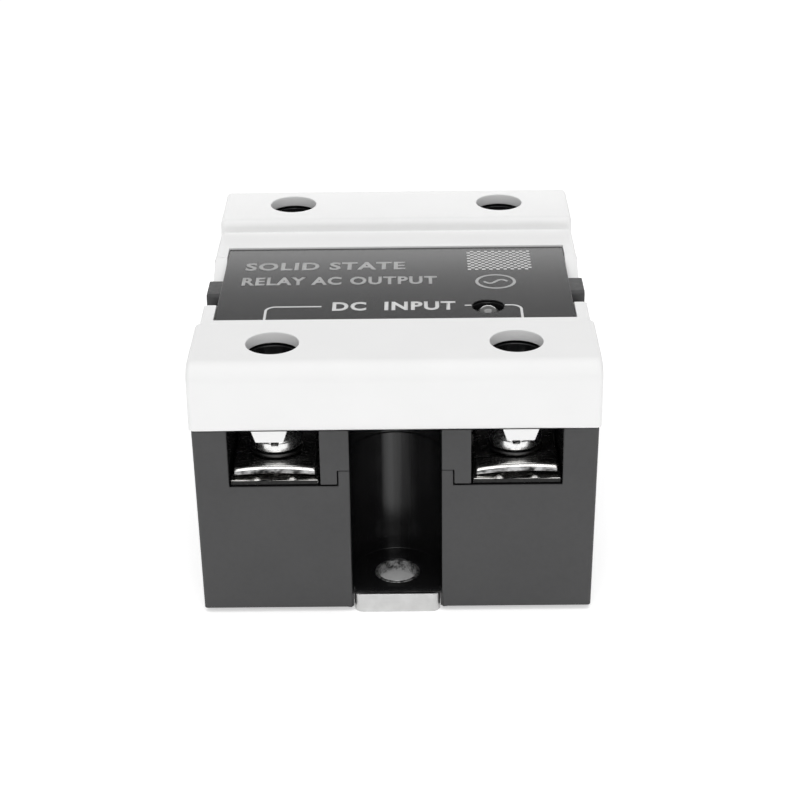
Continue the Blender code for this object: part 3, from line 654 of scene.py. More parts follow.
def zinc():
    """Zinc-plated steel of the terminal screws, with a slight cloud."""
    s = Surface("zinc", Metallic=1.0)
    s.colour(0.6, 4, (0.68, 0.68, 0.68), (0.84, 0.84, 0.83))
    s.gloss(0.4, 3, 0.16, 0.34)
    s.bump((s.noise(0.3, 3), 0.01, 0.4))
    return s.material


def spring_steel():
    """Oiled dark spring steel of the lock washers."""
    s = Surface("spring_steel", Metallic=1.0)
    s.colour(0.5, 4, grey(0.05), grey(0.12))
    s.gloss(0.4, 3, 0.32, 0.45)
    s.bump((s.noise(0.3, 3), 0.01, 0.4))
    return s.material


def lamp_epoxy():
    """Smoke-tinted lamp body under a clear gloss."""
    s = Surface("lamp_epoxy", IOR=1.52, Coat_Weight=1.0)
    s.colour(0.8, 2, (0.06, 0.06, 0.06), (0.15, 0.15, 0.147))
    s.gloss(0.5, 2, 0.05, 0.12)
    s.bump((s.noise(0.6, 2), 0.006, 0.3))
    return s.material


def lacquer(name, dark, light, roughness, grain):
    """A moulded, fired or lacquered part: two close colours, uneven gloss and a fine grain."""
    s = Surface(name, IOR=1.5)
    s.colour(grain * 6, 4, dark, light)
    s.gloss(grain * 2, 3, roughness - 0.06, roughness + 0.08)
    s.bump((s.noise(grain, 3), 0.01, 0.5))
    return s.material


def board_laminate():
    """Green solder mask over woven glass."""
    s = Surface("board_laminate", IOR=1.5)
    threads = []
    for axis in ("X", "Y"):
        wave = s.node("ShaderNodeTexWave", {"Vector": s.place, "Scale": 400.0}, bands_direction=axis)
        threads.append(wave.outputs["Fac"])
    weave = s.node("ShaderNodeMath", dict(enumerate(threads)), operation="MULTIPLY").outputs["Value"]
    s.feed("Base Color", s.blend(weave, (0.012, 0.09, 0.035), (0.022, 0.14, 0.06)))
    s.gloss(1.0, 3, 0.28, 0.42)
    s.bump((weave, 0.01, 0.4))
    return s.material


# ---------------------------------------------------------------- pieces

def in_bore(place, normal):
    """True on the walls of the mounting holes and the collars' tops."""
    return math.hypot(place.x, abs(place.y) - HOLE_Y) < COLLAR_RADIUS + NEAR and place.z > NEAR


def base_plate(material, bore_material):
    """The plate with its two ears, and the pressed collar round each hole."""
    main = rounded_rectangle(PLATE_HIGH.x, PLATE_END, PLATE_CORNER)
    ears = rounded_rectangle(EAR_HALF_WIDTH, PLATE_HIGH.y, EAR_CORNER, 10)
    plate = object_from(prism(main, "Z", 0, PLATE_THICKNESS), "base_plate_metal")
    join(plate, prism(ears, "Z", 0, PLATE_THICKNESS))
    for sign in ENDS.values():
        centre = (0, sign * HOLE_Y)
        join(plate, disc(centre, COLLAR_RADIUS, PLATE_THICKNESS - INTO, PLATE_HIGH.z))
        cut(plate, disc(centre, HOLE_RADIUS, -PAST, PLATE_HIGH.z + PAST))
    round_edges(plate, HOUSING_ROUNDING)
    paint(plate, material, bore_material, in_bore)
    finish_piece(plate, material, "housing", ["base_plate"])


def channel_outline(sign, end):
    """The channel's plan: straight walls from the end face to a half circle about the mounting hole."""
    half_circle = arc((0, sign * HOLE_Y), CHANNEL_RADIUS, 0, -180 * sign, 40)
    return [(CHANNEL_RADIUS, sign * end)] + half_circle + [(-CHANNEL_RADIUS, sign * end)]


def in_polished_shaded_place(place, normal):
    """True on the channels' walls and floors, inside the terminal chambers and in the lamp's bore: the faces
    that get the darker finish, which is painted shade.
    """
    if math.hypot(place.x - LED_X, place.y - LED_Y) < LED_HOLE_RADIUS + NEAR:
        return True
    x, y, z = abs(place.x), abs(place.y), place.z
    in_channel = x < CHANNEL_RADIUS + SLIVER and y > HOLE_Y - CHANNEL_RADIUS - NEAR and z > PLATE_THICKNESS
    beside_terminal = CHAMBER_INNER_X - SLIVER < x < CHAMBER_OUTER_X + SLIVER
    in_chamber = beside_terminal and y > CHAMBER_BACK_Y - SLIVER and z > SILL - SLIVER
    floor_edge = x < CHANNEL_RADIUS and z < FLOOR_TOP + SLIVER
    return (in_channel or in_chamber) and (y < LOWER_HIGH.y - UNPOLISHED_END or floor_edge)


def draft_sides(obj, from_x):
    """Leans the two long side walls outwards a little, as a mould needs."""
    foot = LOWER_LOW.z
    for vert in obj.data.vertices:
        if abs(vert.co.x) > from_x:
            share = (vert.co.z - foot) / (SHOULDER - foot)
            vert.co.x += math.copysign(BODY_DRAFT * share, vert.co.x)


def finish_housing(housing, material, polished_shaded, node):
    """The rounding and the two finishes that both housings share; the second one is darkened as painted
    shade.
    """
    round_uprights(housing, UPRIGHT_ROUNDING)
    round_edges(housing, HOUSING_ROUNDING)
    # the second material paints shade into the channels, chambers, floor edges and lamp bore
    paint(housing, material, polished_shaded, in_polished_shaded_place)
    finish_piece(housing, material, "housing", [node])


def lower_housing(material, polished_shaded):
    """The tub: open to the plate below and to the lid above, with a channel at each end."""
    half_width, half_length = LOWER_HIGH.x, LOWER_HIGH.y
    outline = rounded_rectangle(half_width, half_length, CORNER_RADIUS)
    housing = object_from(prism(outline, "Z", LOWER_LOW.z, SHOULDER), "lower_housing_moulding")
    rim = rounded_rectangle(half_width - RIM_INSET, half_length - RIM_END_INSET, CORNER_RADIUS)
    join(housing, prism(rim, "Z", SHOULDER - INTO, LOWER_HIGH.z))
    floor_bottom = PLATE_THICKNESS + HAIR
    lip = half_length - FLOOR_RECESS
    floor_slope = [(lip - FLOOR_SLOPE, FLOOR_TOP), (lip, FLOOR_TOP + PAST), (lip, floor_bottom + HAIR)]
    hollows = (
        (CAVITY_HALF_WIDTH, CAVITY_HALF_LENGTH, BEYOND),
        (PLATE_HIGH.x + GAP, PLATE_END + GAP, floor_bottom),
        (EAR_HALF_WIDTH + GAP, BEYOND, floor_bottom),
    )
    cut(housing, *[box((-x, -y, -PAST), (x, y, top)) for x, y, top in hollows])
    for sign in ENDS.values():
        cut(
            housing,
            prism(channel_outline(sign, half_length + PAST), "Z", FLOOR_TOP, BEYOND),
            disc((0, sign * HOLE_Y), COLLAR_RADIUS + HAIR, 0, FLOOR_TOP + PAST),
            end_box(sign, CHANNEL_RADIUS, (lip, 0), (half_length + PAST, FLOOR_TOP + PAST)),
            prism([(sign * y, z) for y, z in floor_slope], "X", -CHANNEL_RADIUS, CHANNEL_RADIUS),
            end_box(
                sign,
                CHAMBER_INNER_X + INTO,
                (CAVITY_HALF_LENGTH - PAST, SEAM - SEAT_GAP),
                (half_length + PAST, BEYOND),
            ),
        )
    neck_inner, neck_outer = SCREW_X - NECK_HALF_WIDTH - GAP, SCREW_X + NECK_HALF_WIDTH + GAP
    chamber = (
        (CHAMBER_INNER_X, CHAMBER_BACK_Y, SILL),
        (CHAMBER_OUTER_X, half_length + PAST, BEYOND),
    )
    tongue_seat = (
        (TONGUE_INNER_X - SEAM_GAP, half_length - TONGUE_DEPTH - GAP, SILL),
        (CHAMBER_INNER_X + INTO, half_length + PAST, SEAM),
    )
    neck_slot = (
        (neck_inner, CAVITY_HALF_LENGTH - PAST, SILL),
        (neck_outer, CHAMBER_BACK_Y + PAST, BAR_HIGH.z + GAP),
    )
    # black blocks that fill the gap beside each ear where only shade would show: painted shade
    shade_cheek = (
        (EAR_HALF_WIDTH + HAIR, half_length - SHADE_CHEEK_DEPTH, LOWER_LOW.z),
        (CHANNEL_RADIUS + SHADE_CHEEK_DEPTH, lip - HAIR, floor_bottom + INTO),
    )
    for sides in TERMINALS.values():
        cut(
            housing,
            *[mirrored_box(sides, *corners) for corners in (chamber, tongue_seat, neck_slot)],
            bore(sides, TIP_HOLE_RADIUS, SILL - TIP_HOLE_DEPTH, SILL + PAST),
        )
    for sides in TERMINALS.values():
        join(housing, mirrored_box(sides, *shade_cheek))
    draft_sides(housing, half_width - CORNER_RADIUS - SLIVER)
    finish_housing(housing, material, polished_shaded, "lower_housing")


def upper_housing(material, polished_shaded):
    """The lid: a deck that plugs the tub, with the label's platform, end piers, canopies and lugs."""
    low = (-DECK_HALF_WIDTH, -DECK_HALF_LENGTH, DECK_BOTTOM)
    high = (DECK_HALF_WIDTH, DECK_HALF_LENGTH, DECK_TOP)
    housing = object_from(box(low, high), "upper_housing_moulding")
    plug_x, plug_y = CAVITY_HALF_WIDTH - GAP, CAVITY_HALF_LENGTH - GAP
    join(
        housing,
        box(
            (-PLATFORM_HALF_WIDTH, LABEL_LOW.y, DECK_TOP - INTO),
            (PLATFORM_HALF_WIDTH, LABEL_HIGH.y, PLATFORM_TOP),
        ),
        box((-plug_x, -plug_y, PLUG_BOTTOM), (plug_x, plug_y, DECK_BOTTOM + INTO)),
    )
    for sign in ENDS.values():
        back = CAVITY_HALF_LENGTH - GAP - INTO
        front, rim = LOWER_HIGH.y, LOWER_HIGH.y - RIM_END_INSET
        pier = [(back, SEAM), (front, SEAM), (front, SHOULDER)]
        pier += [(rim, SHOULDER), (rim, PIER_TOP), (back, PIER_TOP)]
        join(
            housing,
            prism([(sign * y, z) for y, z in pier], "X", -PIER_HALF_WIDTH, PIER_HALF_WIDTH),
            end_box(
                sign,
                DECK_HALF_WIDTH - INTO,
                (DECK_HALF_LENGTH - INTO, LINK_BOTTOM),
                (CANOPY_INNER_Y + INTO, DECK_TOP - SLIVER),
            ),
            end_box(
                sign, CANOPY_HALF_WIDTH, (CANOPY_INNER_Y, LINK_BOTTOM - SLIVER), (CANOPY_OUTER_Y, CANOPY_TOP)
            ),
        )
    hollow_x, hollow_y = plug_x - WALL, plug_y - WALL
    channels = [channel_outline(sign, LOWER_HIGH.y + PAST) for sign in ENDS.values()]
    cut(
        housing,
        box((-hollow_x, -hollow_y, PLUG_BOTTOM - PAST), (hollow_x, hollow_y, DECK_UNDERSIDE)),
        disc((LED_X, LED_Y), LED_HOLE_RADIUS, DECK_BOTTOM - PAST, PLATFORM_TOP + PAST),
        *[prism(channel, "Z", SEAM - PAST, BEYOND) for channel in channels],
        *[bore(sides, DRIVER_HOLE_RADIUS, LINK_BOTTOM - PAST, BEYOND) for sides in TERMINALS.values()],
    )
    join(housing, *[
        mirrored_box(
            sides,
            (TONGUE_INNER_X, LOWER_HIGH.y - TONGUE_DEPTH, UPPER_LOW.z),
            (PIER_HALF_WIDTH, LOWER_HIGH.y, SEAM + INTO),
        )
        for sides in TERMINALS.values()
    ])
    lug = arc((LUG_HALF_LENGTH - LUG_CORNER, LUG_TOP - LUG_CORNER), LUG_CORNER, 0, 90)
    lug += arc((LUG_CORNER - LUG_HALF_LENGTH, LUG_TOP - LUG_CORNER), LUG_CORNER, 90, 180)
    lug += [(-LUG_HALF_LENGTH, LUG_NECK_BOTTOM), (LUG_HALF_LENGTH, LUG_NECK_BOTTOM)]
    for side in (-1, 1):
        join(
            housing,
            prism(lug, "X", side * (DECK_HALF_WIDTH - INTO), side * UPPER_HIGH.x),
            mirrored_box(
                (side, 1),
                (LUG_INNER_X, -LUG_HALF_LENGTH + HAIR, LUG_BOTTOM),
                (UPPER_HIGH.x - HAIR, LUG_HALF_LENGTH - HAIR, LUG_NECK_BOTTOM + INTO),
            ),
        )
    finish_housing(housing, material, polished_shaded, "upper_housing")


def label(material):
    """The film sheet, with a hole for the lamp."""
    film = object_from(box(LABEL_LOW, LABEL_HIGH), "label_film_sheet")
    cut(film, disc((LED_X, LED_Y), LED_HOLE_RADIUS, LABEL_LOW.z - PAST, LABEL_HIGH.z + PAST))
    round_edges(film, FILM_ROUNDING, 2)
    finish_piece(film, material, "housing", ["label"])


def ink(bm, name, material):
    """A printed shape lying on the label's face."""
    shape = object_from(bm, name)
    finish_piece(shape, material, "housing", [])


def print_words(words, name, material, left, right, bottom, top):
    """Words drawn out to fill a rectangle of the label."""
    curve = bpy.data.curves.new(name, "FONT")
    curve.body = words
    curve.offset = LETTER_BOLDNESS
    curve.extrude = 0.05
    curve.resolution_u = 4
    curve.space_character = 1.12
    holder = bpy.data.objects.new(name, curve)
    bpy.context.scene.collection.objects.link(holder)
    bpy.context.view_layer.update()
    evaluated = holder.evaluated_get(bpy.context.evaluated_depsgraph_get())
    mesh = bpy.data.meshes.new_from_object(evaluated)
    bpy.data.objects.remove(holder, do_unlink=True)
    bm = bmesh.new()
    bm.from_mesh(mesh)
    bmesh.ops.remove_doubles(bm, verts=bm.verts, dist=1e-5)
    low = Vector([min(v.co[axis] for v in bm.verts) for axis in range(3)])
    high = Vector([max(v.co[axis] for v in bm.verts) for axis in range(3)])
    start = Vector((left, bottom, LABEL_HIGH.z + INK_LIFT))
    size = Vector((right - left, top - bottom, INK_THICKNESS))
    for vert in bm.verts:
        for axis in range(3):
            share = (vert.co[axis] - low[axis]) / (high[axis] - low[axis])
            vert.co[axis] = start[axis] + share * size[axis]
    ink(bm, name, material)


def ink_layer():
    """The lowest and highest z of the ink."""
    low = LABEL_HIGH.z + INK_LIFT
    return low, low + INK_THICKNESS


def ribbon(path, width):
    """A flat strip of ink along an open path of (x, y) points."""
    left, right = [], []
    for i, point in enumerate(path):
        before = Vector(path[max(i - 1, 0)])
        after = Vector(path[min(i + 1, len(path) - 1)])
        along = (after - before).normalized()
        across = Vector((-along.y, along.x)) * width / 2
        left.append(tuple(Vector(point) + across))
        right.append(tuple(Vector(point) - across))
    return prism(left + right[::-1], "Z", *ink_layer())


def ellipse(centre, half_x, half_y, low, high):
    """An oval disc."""
    bm = disc((0, 0), 1.0, low, high, 72)
    bmesh.ops.scale(bm, verts=bm.verts, vec=(half_x, half_y, 1))
    bmesh.ops.translate(bm, verts=bm.verts, vec=(centre[0], centre[1], 0))
    return bm


def print_lead(side, outer, inner, material):
    """The line from an input terminal, round a corner and inwards; it breaks off at the lamp's window."""
    bend = arc((outer - LEAD_CORNER, LEAD_Y - LEAD_CORNER), LEAD_CORNER, 0, 90, 12)
    path = [(outer, LABEL_LOW.y + PRINT_MARGIN)] + bend
    window_start, window_end = (LED_X + way * (LED_HOLE_RADIUS + HAIR) for way in (1, -1))
    if side > 0:
        path.append((window_start, LEAD_Y))
        ink(ribbon([(window_end, LEAD_Y), (inner, LEAD_Y)], LEAD_WIDTH), "print_lead_stub", material)
    else:
        path.append((inner, LEAD_Y))
    name = "print_lead_right" if side > 0 else "print_lead_left"
    ink(ribbon([(side * x, y) for x, y in path], LEAD_WIDTH), name, material)


def print_chequer(material):
    """A plain chequer in place of a code: it holds no data."""
    low, high = ink_layer()
    cell_x, cell_y = (size / count for size, count in zip(CHEQUER_SIZE, CHEQUER_CELLS))
    chequer = bmesh.new()
    for column in range(CHEQUER_CELLS[0]):
        for row in range(column % 2, CHEQUER_CELLS[1], 2):
            x, y = CHEQUER_CORNER[0] + cell_x * column, CHEQUER_CORNER[1] + cell_y * row
            add_to(chequer, box((x, y, low), (x + cell_x * CHEQUER_FILL, y + cell_y * CHEQUER_FILL, high)))
    ink(chequer, "print_chequer", material)


def label_print(bright, faint):
    """Generic words, a lead line to each input terminal, a wave in a ring and a plain chequer."""
    print_words("SOLID STATE", "print_title", faint, left=-18.8, right=1.2, bottom=3.45, top=6.0)
    print_words("RELAY AC OUTPUT", "print_output", faint, left=-18.9, right=5.1, bottom=-1.35, top=1.2)
    print_words("DC  INPUT", "print_input", bright, left=-7.5, right=7.2, bottom=-9.35, top=-6.75)
    print_lead(-1, 15.4, 8.8, bright)
    print_lead(1, 15.0, 8.3, bright)

    low, high = ink_layer()
    ring = object_from(ellipse(MARK_CENTRE, *MARK_SIZE, low, high), "print_ring")
    inner_x, inner_y = (half - MARK_STROKE for half in MARK_SIZE)
    cut(ring, ellipse(MARK_CENTRE, inner_x, inner_y, low - PAST, high + PAST))
    finish_piece(ring, faint, "housing", [])
    wave = []
    for step in range(25):
        share = step / 12 - 1
        rise = WAVE_HEIGHT * math.sin(math.pi * share)
        wave.append((MARK_CENTRE[0] + WAVE_HALF_LENGTH * share, MARK_CENTRE[1] + rise))
    ink(ribbon(wave, MARK_STROKE), "print_wave", faint)
    print_chequer(bright)


def hood_outline(sign):
    """The cover's side profile as (y, z): end wall, round top edge, step down to the ledge and the arms."""
    end, top = COVER_HIGH.y, COVER_HIGH.z
    outline = [(end, COVER_BOTTOM)]
    outline += arc((end - END_FILLET, top - END_FILLET), END_FILLET, 0, 90, 14)
    outline += arc((HOOD_INNER_Y + INNER_FILLET, top - INNER_FILLET), INNER_FILLET, 90, 180, 10)
    outline += [(HOOD_INNER_Y, LEDGE_TOP), (ARM_END_Y, LEDGE_TOP), (ARM_END_Y, COVER_BOTTOM)]
    return [(sign * y, z) for y, z in outline]


def round_sides(bm, half_width, radius, segments):
    """Rounds every edge of the two end faces of a prism along X, apart from the bottom edges."""
    ends = [
        edge
        for edge in bm.edges
        if abs(edge.verts[0].co.x - edge.verts[1].co.x) < 1e-6
        and abs(abs(edge.verts[0].co.x) - half_width) < 1e-6
        and max(vert.co.z for vert in edge.verts) > COVER_BOTTOM + 1e-3
    ]
    bevel_edges(bm, ends, radius, segments)
    return bm


def terminal_cover(end, sign, material):
    """One half of the white cover: hood, ledge round the label, side arms and two hanging tabs."""
    half_width = COVER_HIGH.x
    shell = prism(hood_outline(sign), "X", -half_width, half_width)
    cover = object_from(round_sides(shell, half_width, SIDE_ROUNDING, 5), f"{end}_cover_moulding")
    inner = half_width - COVER_WALL
    label_end = abs(LABEL_LOW.y) if sign < 0 else LABEL_HIGH.y
    scoop_centre = LEDGE_TOP + math.sqrt(SCOOP_RADIUS**2 - SCOOP_HALF_LENGTH**2)
    scoop = arc((0, scoop_centre), SCOOP_RADIUS, 180, 360, 90)
    hood_wall = HOOD_INNER_Y + COVER_WALL
    open_bottom = COVER_BOTTOM - PAST
    ledge_bottom = LEDGE_TOP - LEDGE_THICKNESS
    hollows = (
        (inner, (hood_wall, open_bottom), (COVER_HIGH.y - COVER_WALL, COVER_HIGH.z - ROOF)),
        (inner, (-PAST, open_bottom), (hood_wall + INTO, ARM_SHELF)),
        (WINDOW_HALF_WIDTH, (-PAST, ARM_SHELF - INTO), (hood_wall + INTO, ledge_bottom)),
        (WINDOW_HALF_WIDTH, (-PAST, ledge_bottom - PAST), (label_end + WINDOW_GAP, LEDGE_TOP + PAST)),
    )
    cut(
        cover,
        *[end_box(sign, *hollow) for hollow in hollows],
        prism(scoop, "X", -half_width - PAST, half_width + PAST),
    )
    for side in (-1, 1):
        top, bottom = COVER_BOTTOM, COVER_LOW.z
        cut(cover, bore((side, sign), DRIVER_HOLE_RADIUS, COVER_HIGH.z - ROOF - PAST, BEYOND, 72))
        tab = [(-TAB_TOP_HALF, top + INTO), (-TAB_TOP_HALF, top), (-TAB_BOTTOM_HALF, bottom)]
        tab += [(-x, z) for x, z in reversed(tab)]
        tab = [(side * TAB_X + x, z) for x, z in tab]
        tab_inner, tab_outer = COVER_HIGH.y - COVER_WALL + SLIVER, COVER_HIGH.y - SLIVER
        join(cover, prism(tab, "Y", sign * tab_inner, sign * tab_outer))
    round_edges(cover, COVER_ROUNDING)
    finish_piece(cover, material, f"{end}_cover", [f"{end}_cover"])


def sheared_end(place, normal):
    """True for a face that looks towards the front or the rear."""
    return abs(normal.y) > 0.9


def cut_off_end(place, normal):
    """True for such a face at a terminal bar's outer end; these faces get the painted shade."""
    return sheared_end(place, normal) and abs(place.y) > BAR_HIGH.y - 2 * NEAR


def terminal_bar(name, sides, material, edge_material):
    """A fixed contact: the pad under the clamp, and a neck, leg and foot that reach inside."""
    side, sign = sides
    top, underside = BAR_HIGH.z, BAR_HIGH.z - BAR_THICKNESS
    pad = mirrored_box(sides, (BAR_LOW.x, CHAMBER_BACK_Y + GAP, underside), BAR_HIGH)
    bar = object_from(pad, f"{name}_bar_strip")
    leg_bottom = span(f"{name}_bar")[0].z
    inner, outer = SCREW_X - NECK_HALF_WIDTH, SCREW_X + NECK_HALF_WIDTH
    leg_outer_y = LEG_Y + BAR_THICKNESS
    join(
        bar,
        mirrored_box(sides, (inner, LEG_Y, underside), (outer, CHAMBER_BACK_Y + GAP + INTO, top)),
        mirrored_box(sides, (inner, LEG_Y, leg_bottom), (outer, leg_outer_y, top)),
        mirrored_box(
            sides,
            (inner, LEG_Y - FOOT_LENGTH, leg_bottom),
            (outer, leg_outer_y, leg_bottom + BAR_THICKNESS),
        ),
    )
    for middle in (side * SCREW_X - RIDGE_X, side * SCREW_X + RIDGE_X):
        ridge = [
            (middle - 2 * RIDGE_HALF_WIDTH, top - HAIR),
            (middle - RIDGE_HALF_WIDTH, top + RIDGE_RISE),
            (middle + RIDGE_HALF_WIDTH, top + RIDGE_RISE),
            (middle + 2 * RIDGE_HALF_WIDTH, top - HAIR),
        ]
        join(bar, prism(ridge, "Y", sign * (BAR_HIGH.y - RIDGE_LENGTH), sign * (BAR_HIGH.y - SLIVER / 2)))
    cut(bar, bore(sides, BAR_HOLE_RADIUS, underside - PAST, top + PAST))
    round_edges(bar, BAR_ROUNDING)
    # the outer end faces get the second material, which is painted shade
    paint(bar, material, edge_material, cut_off_end)
    finish_piece(bar, material, "housing", [f"{name}_bar"])


def roll_top_ends(obj, middle_z, radius):
    """Rounds the upper edges at both ends of a plate that was swept along Y."""
    bm = bmesh.new()
    bm.from_mesh(obj.data)
    reach = max(vert.co.y for vert in bm.verts), min(vert.co.y for vert in bm.verts)
    ends = [
        edge
        for edge in bm.edges
        if min(vert.co.z for vert in edge.verts) > middle_z
        and any(all(abs(vert.co.y - end) < 1e-3 for vert in edge.verts) for end in reach)
    ]
    bevel_edges(bm, ends, radius, 8)
    bm.to_mesh(obj.data)
    bm.free()


def clamp_plate(name, sides, material, edge_material):
    """A square wire clamp, arched so that its two edges bite first."""
    x_middle, y_middle = screw_axis(sides)
    sign = sides[1]
    half_width = (CLAMP_HIGH.x - CLAMP_LOW.x) / 2
    steps = 40
    bottom, top = [], []
    for step in range(steps + 1):
        across = 2 * step / steps - 1
        x = half_width * across
        bottom.append((x, CLAMP_LOW.z + CLAMP_UNDER_ARCH * (1 - across**2)))
        top.append((x, CLAMP_LOW.z + CLAMP_THICKNESS + CLAMP_ARCH * (1 - across**2)))
    outline = [(x_middle + x, z) for x, z in bottom + top[::-1]]
    arch = prism(outline, "Y", sign * CLAMP_LOW.y, sign * CLAMP_HIGH.y)
    plate = object_from(arch, f"{name}_clamp_plate")
    cut(plate, bore(sides, CLAMP_HOLE_RADIUS, CLAMP_LOW.z - PAST, CLAMP_HIGH.z + PAST))
    roll_top_ends(plate, (CLAMP_LOW.z + CLAMP_HIGH.z) / 2, CLAMP_ROLL)
    round_edges(plate, CLAMP_ROUNDING)
    paint(plate, material, edge_material, sheared_end)
    tilt = Matrix.Rotation(math.radians(CLAMP_TILT.get(name, 0)), 4, "Y")
    centre = Matrix.Translation((x_middle, y_middle, CLAMP_LOW.z + CLAMP_THICKNESS / 2))
    plate.data.transform(centre @ tilt @ centre.inverted())
    finish_piece(plate, material, f"{name}_clamp", [f"{name}_clamp"])


def lock_washer(name, sides, material):
    """A split ring."""
    centre = screw_axis(sides)
    outer = (WASHER_HIGH.x - WASHER_LOW.x) / 2
    washer = object_from(disc(centre, outer, WASHER_LOW.z, WASHER_HIGH.z), f"{name}_lock_washer")
    cut(
        washer,
        disc(centre, WASHER_INNER_RADIUS, WASHER_LOW.z - PAST, WASHER_HIGH.z + PAST),
        box(
            (centre[0] + WASHER_INNER_RADIUS - PAST, centre[1] - WASHER_SLIT / 2, WASHER_LOW.z - PAST),
            (centre[0] + outer + PAST, centre[1] + WASHER_SLIT / 2, WASHER_HIGH.z + PAST),
        ),
    )
    round_edges(washer, WASHER_ROUNDING, 2)
    finish_piece(washer, material, f"{name}_clamp", [f"{name}_washer"])


def threaded_shank(centre, top):
    """A shank with a helical thread, closed at both ends and tapered at its tip."""
    around, per_turn = 36, 8
    levels = int(SHANK_LENGTH / THREAD_PITCH * per_turn)
    bm = bmesh.new()
    rings = []
    for level in range(levels + 1):
        z = -SHANK_LENGTH + SHANK_LENGTH * level / levels
        ring = []
        for step in range(around):
            turn = step / around
            phase = (z / THREAD_PITCH - turn) % 1.0
            depth = THREAD_DEPTH * (1 - abs(2 * phase - 1))
            radius = min(SHANK_RADIUS - depth, SHANK_RADIUS - TIP_TAPER + (z + SHANK_LENGTH))
            angle = 2 * math.pi * turn
            ring.append(bm.verts.new((radius * math.cos(angle), radius * math.sin(angle), z)))
        rings.append(ring)
    skin(bm, rings)
    bm.faces.new(rings[0][::-1])
    bm.faces.new(rings[-1])
    bmesh.ops.translate(bm, verts=bm.verts, vec=(centre[0], centre[1], top))
    return bm


def terminal_screw(name, sides, material):
    """A pan-head screw with a cross recess and a slot."""
    radius = (SCREW_HIGH.x - SCREW_LOW.x) / 2
    head_bottom = SCREW_LOW.z + SHANK_LENGTH
    centre = (*screw_axis(sides), head_bottom)
    profile = [(0, 0), (radius - HEAD_CHAMFER, 0), (radius, HEAD_CHAMFER), (radius, HEAD_RIM)]
    for across, up in arc((0, 0), 1, 0, 90, 16)[1:-1]:
        profile.append((radius * across, HEAD_RIM + HEAD_DOME * up))
    profile.append((0, HEAD_RIM + HEAD_DOME))
    screw = object_from(turned(profile, centre), f"{name}_screw_head")
    recess_arms = (
        (RECESS_LENGTH / 2, RECESS_WIDTH / 2, RECESS_DEPTH),
        (RECESS_WIDTH / 2, RECESS_LENGTH / 2, RECESS_DEPTH),
        (RECESS_WIDTH / 2 + SLIVER, radius + PAST, SLOT_DEPTH),
    )
    for half_x, half_y, depth in recess_arms:
        low = (centre[0] - half_x, centre[1] - half_y, SCREW_HIGH.z - depth)
        high = (centre[0] + half_x, centre[1] + half_y, SCREW_HIGH.z + PAST)
        cut(screw, box(low, high))
    round_edges(screw, SCREW_ROUNDING, 2, 40)
    bm = bmesh.new()
    bm.from_mesh(screw.data)
    add_to(bm, threaded_shank(centre, head_bottom + SLIVER))
    bm.to_mesh(screw.data)
    bm.free()
    finish_piece(screw, material, f"{name}_screw", [f"{name}_screw"])


def indicator_lamp(material):
    """A 3 mm lamp: flange, body, dome and two leads."""
    flange = (LAMP_HIGH.x - LAMP_LOW.x) / 2
    flange_top = LED_BASE + LED_FLANGE_THICKNESS
    profile = [(0, LED_BASE), (flange, LED_BASE), (flange, flange_top), (LED_RADIUS, flange_top)]
    profile += [(LED_RADIUS, LED_SHOULDER)]
    profile += arc((0, LED_SHOULDER), LED_RADIUS, 0, 90, 12)[1:-1] + [(0, LED_SHOULDER + LED_RADIUS)]
    lamp = object_from(turned(profile, (LED_X, LED_Y, 0)), "indicator_lamp_body")
    half = LED_LEAD_HALF_WIDTH
    for x in (LED_X - LED_LEAD_X, LED_X + LED_LEAD_X):
        join(lamp, box((x - half, LED_Y - half, LAMP_LOW.z), (x + half, LED_Y + half, LED_BASE + INTO)))
    finish_piece(lamp, material, "housing", ["indicator_led"])


def hidden_parts():
    """The parts inside keep their CAD solids and get finishes of their own."""
    black = lacquer("component_black", grey(0.018), grey(0.03), 0.45, 0.15)
    tan = lacquer("component_tan", (0.42, 0.3, 0.17), (0.52, 0.39, 0.24), 0.4, 0.2)
    blue = lacquer("component_blue", (0.04, 0.12, 0.36), (0.07, 0.18, 0.45), 0.35, 0.2)
    yellow = lacquer("component_yellow", (0.62, 0.46, 0.07), (0.72, 0.56, 0.12), 0.35, 0.25)
    ceramic = lacquer("alumina", (0.76, 0.76, 0.73), (0.85, 0.85, 0.82), 0.55, 0.12)
    silicon = lacquer("silicon_chip", (0.08, 0.08, 0.1), (0.14, 0.14, 0.17), 0.18, 0.4)
    gel = lacquer("silicone_gel_clear", (0.4, 0.4, 0.38), (0.5, 0.5, 0.48), 0.25, 1.2)
    finishes = {
        "circuit_board": board_laminate(),
        "optocoupler": black,
        "input_transistor": black,
        "gate_triac": black,
        "protection_diode": black,
        "snubber_capacitor": yellow,
        "snubber_resistor": blue,
        "input_resistor": tan,
        "gate_resistor": tan,
        "ceramic_substrate": ceramic,
        "thyristor_chip_left": silicon,
        "thyristor_chip_right": silicon,
        "silicone_gel": gel,
    }
    for node, material in finishes.items():
        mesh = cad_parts[node].data
        mesh.materials.clear()
        mesh.materials.append(material)


# ---------------------------------------------------------------- stage

def floor():
    """A plain pale sheet that glows a little, so that it reads as white as the background."""
    material = Surface("floor_paper", Roughness=0.9, Emission_Strength=FLOOR_GLOW)
    material.shader.inputs["Emission Color"].default_value = (1.0, 1.0, 1.0, 1.0)
    material.colour(40, 3, grey(0.93), grey(0.95))
    sheet = bmesh.new()
    bmesh.ops.create_grid(sheet, x_segments=2, y_segments=2, size=FLOOR_HALF_SIZE)
    ground = object_from(sheet, "floor")
    ground.data.transform(Matrix.Scale(MM, 4))
    ground.data.materials.append(material.material)


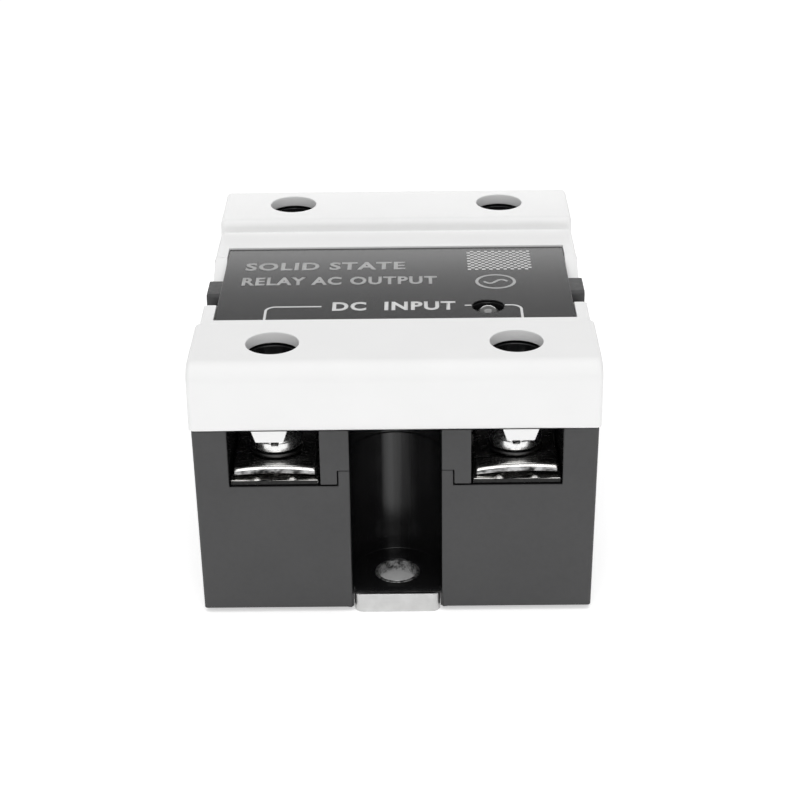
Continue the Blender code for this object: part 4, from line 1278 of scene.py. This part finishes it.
def area_light(name, place, target, size, watts):
    """A rectangular lamp at a place, facing a target."""
    data = bpy.data.lights.new(name, "AREA")
    data.shape = "RECTANGLE"
    data.size = size[0] * MM
    data.size_y = size[1] * MM
    data.energy = watts
    light = bpy.data.objects.new(name, data)
    light.location = Vector(place) * MM
    light.rotation_mode = "QUATERNION"
    light.rotation_quaternion = (Vector(target) - Vector(place)).to_track_quat("-Z", "Y")
    bpy.context.scene.collection.objects.link(light)
    return light


def lights():
    """An even white room, two softboxes, and a low strip behind that only shows in reflections."""
    world = bpy.data.worlds.new("studio")
    world.use_nodes = True
    background = world.node_tree.nodes["Background"]
    background.inputs["Color"].default_value = (1.0, 1.0, 1.0, 1.0)
    background.inputs["Strength"].default_value = WORLD_STRENGTH
    bpy.context.scene.world = world
    area_light("overhead_softbox", place=(0, -50, 420), target=(0, 0, 0), size=(420, 420), watts=1.09)
    area_light("front_softbox", place=(0, -520, 330), target=(0, 0, 15), size=(420, 300), watts=0.7)
    strip = area_light("rear_strip", place=(0, 52, 41), target=(0, 0, 30), size=(220, 13), watts=0.02)
    strip.visible_camera = False
    strip.visible_diffuse = False
    bpy.context.scene.view_settings.view_transform = "Standard"


def camera():
    """From the front, a little over twenty-six degrees down, with a slight turn and roll."""
    pitch, yaw, roll = (math.radians(angle) for angle in (CAMERA_PITCH, CAMERA_YAW, CAMERA_ROLL))
    flat = math.cos(pitch)
    ahead = Vector((-math.sin(yaw) * flat, math.cos(yaw) * flat, -math.sin(pitch)))
    level = Vector((math.cos(yaw), math.sin(yaw), 0))
    upright = level.cross(ahead)
    right = math.cos(roll) * level + math.sin(roll) * upright
    up = math.cos(roll) * upright - math.sin(roll) * level
    data = bpy.data.cameras.new("camera")
    data.lens = FOCAL_LENGTH
    data.sensor_width = SENSOR_WIDTH
    data.clip_start = 0.01
    data.clip_end = 10.0
    view = bpy.data.objects.new("camera", data)
    rotation = Matrix((right, up, -ahead)).transposed()
    view.matrix_world = Matrix.Translation(Vector(CAMERA_PLACE) * MM) @ rotation.to_4x4()
    bpy.context.scene.collection.objects.link(view)
    bpy.context.scene.camera = view


def main():
    # the second housing finish carries painted shade for the channels, chambers and lamp bore
    black, polished_shaded, white = black_moulding(), polished_moulding_painted_shade(), white_moulding()
    plated, bright, metal = nickel(), zinc(), plate_metal()
    # the bars' cut-end finish made on this line is painted shade
    sheared, shaded_bar_ends, spring = sheared_edge(), bar_end_painted_shade(), spring_steel()
    base_plate(metal, drilled_metal())
    lower_housing(black, polished_shaded)
    upper_housing(black, polished_shaded)
    label(label_film())
    label_print(print_ink("print_bright", 0.6, 0.72), print_ink("print_faint", 0.34, 0.44))
    for end, sign in ENDS.items():
        terminal_cover(end, sign, white)
    for name, sides in TERMINALS.items():
        terminal_bar(name, sides, plated, shaded_bar_ends)
        clamp_plate(name, sides, plated, sheared)
        lock_washer(name, sides, spring)
        terminal_screw(name, sides, bright)
    indicator_lamp(lamp_epoxy())
    hidden_parts()
    floor()
    lights()
    camera()


main()
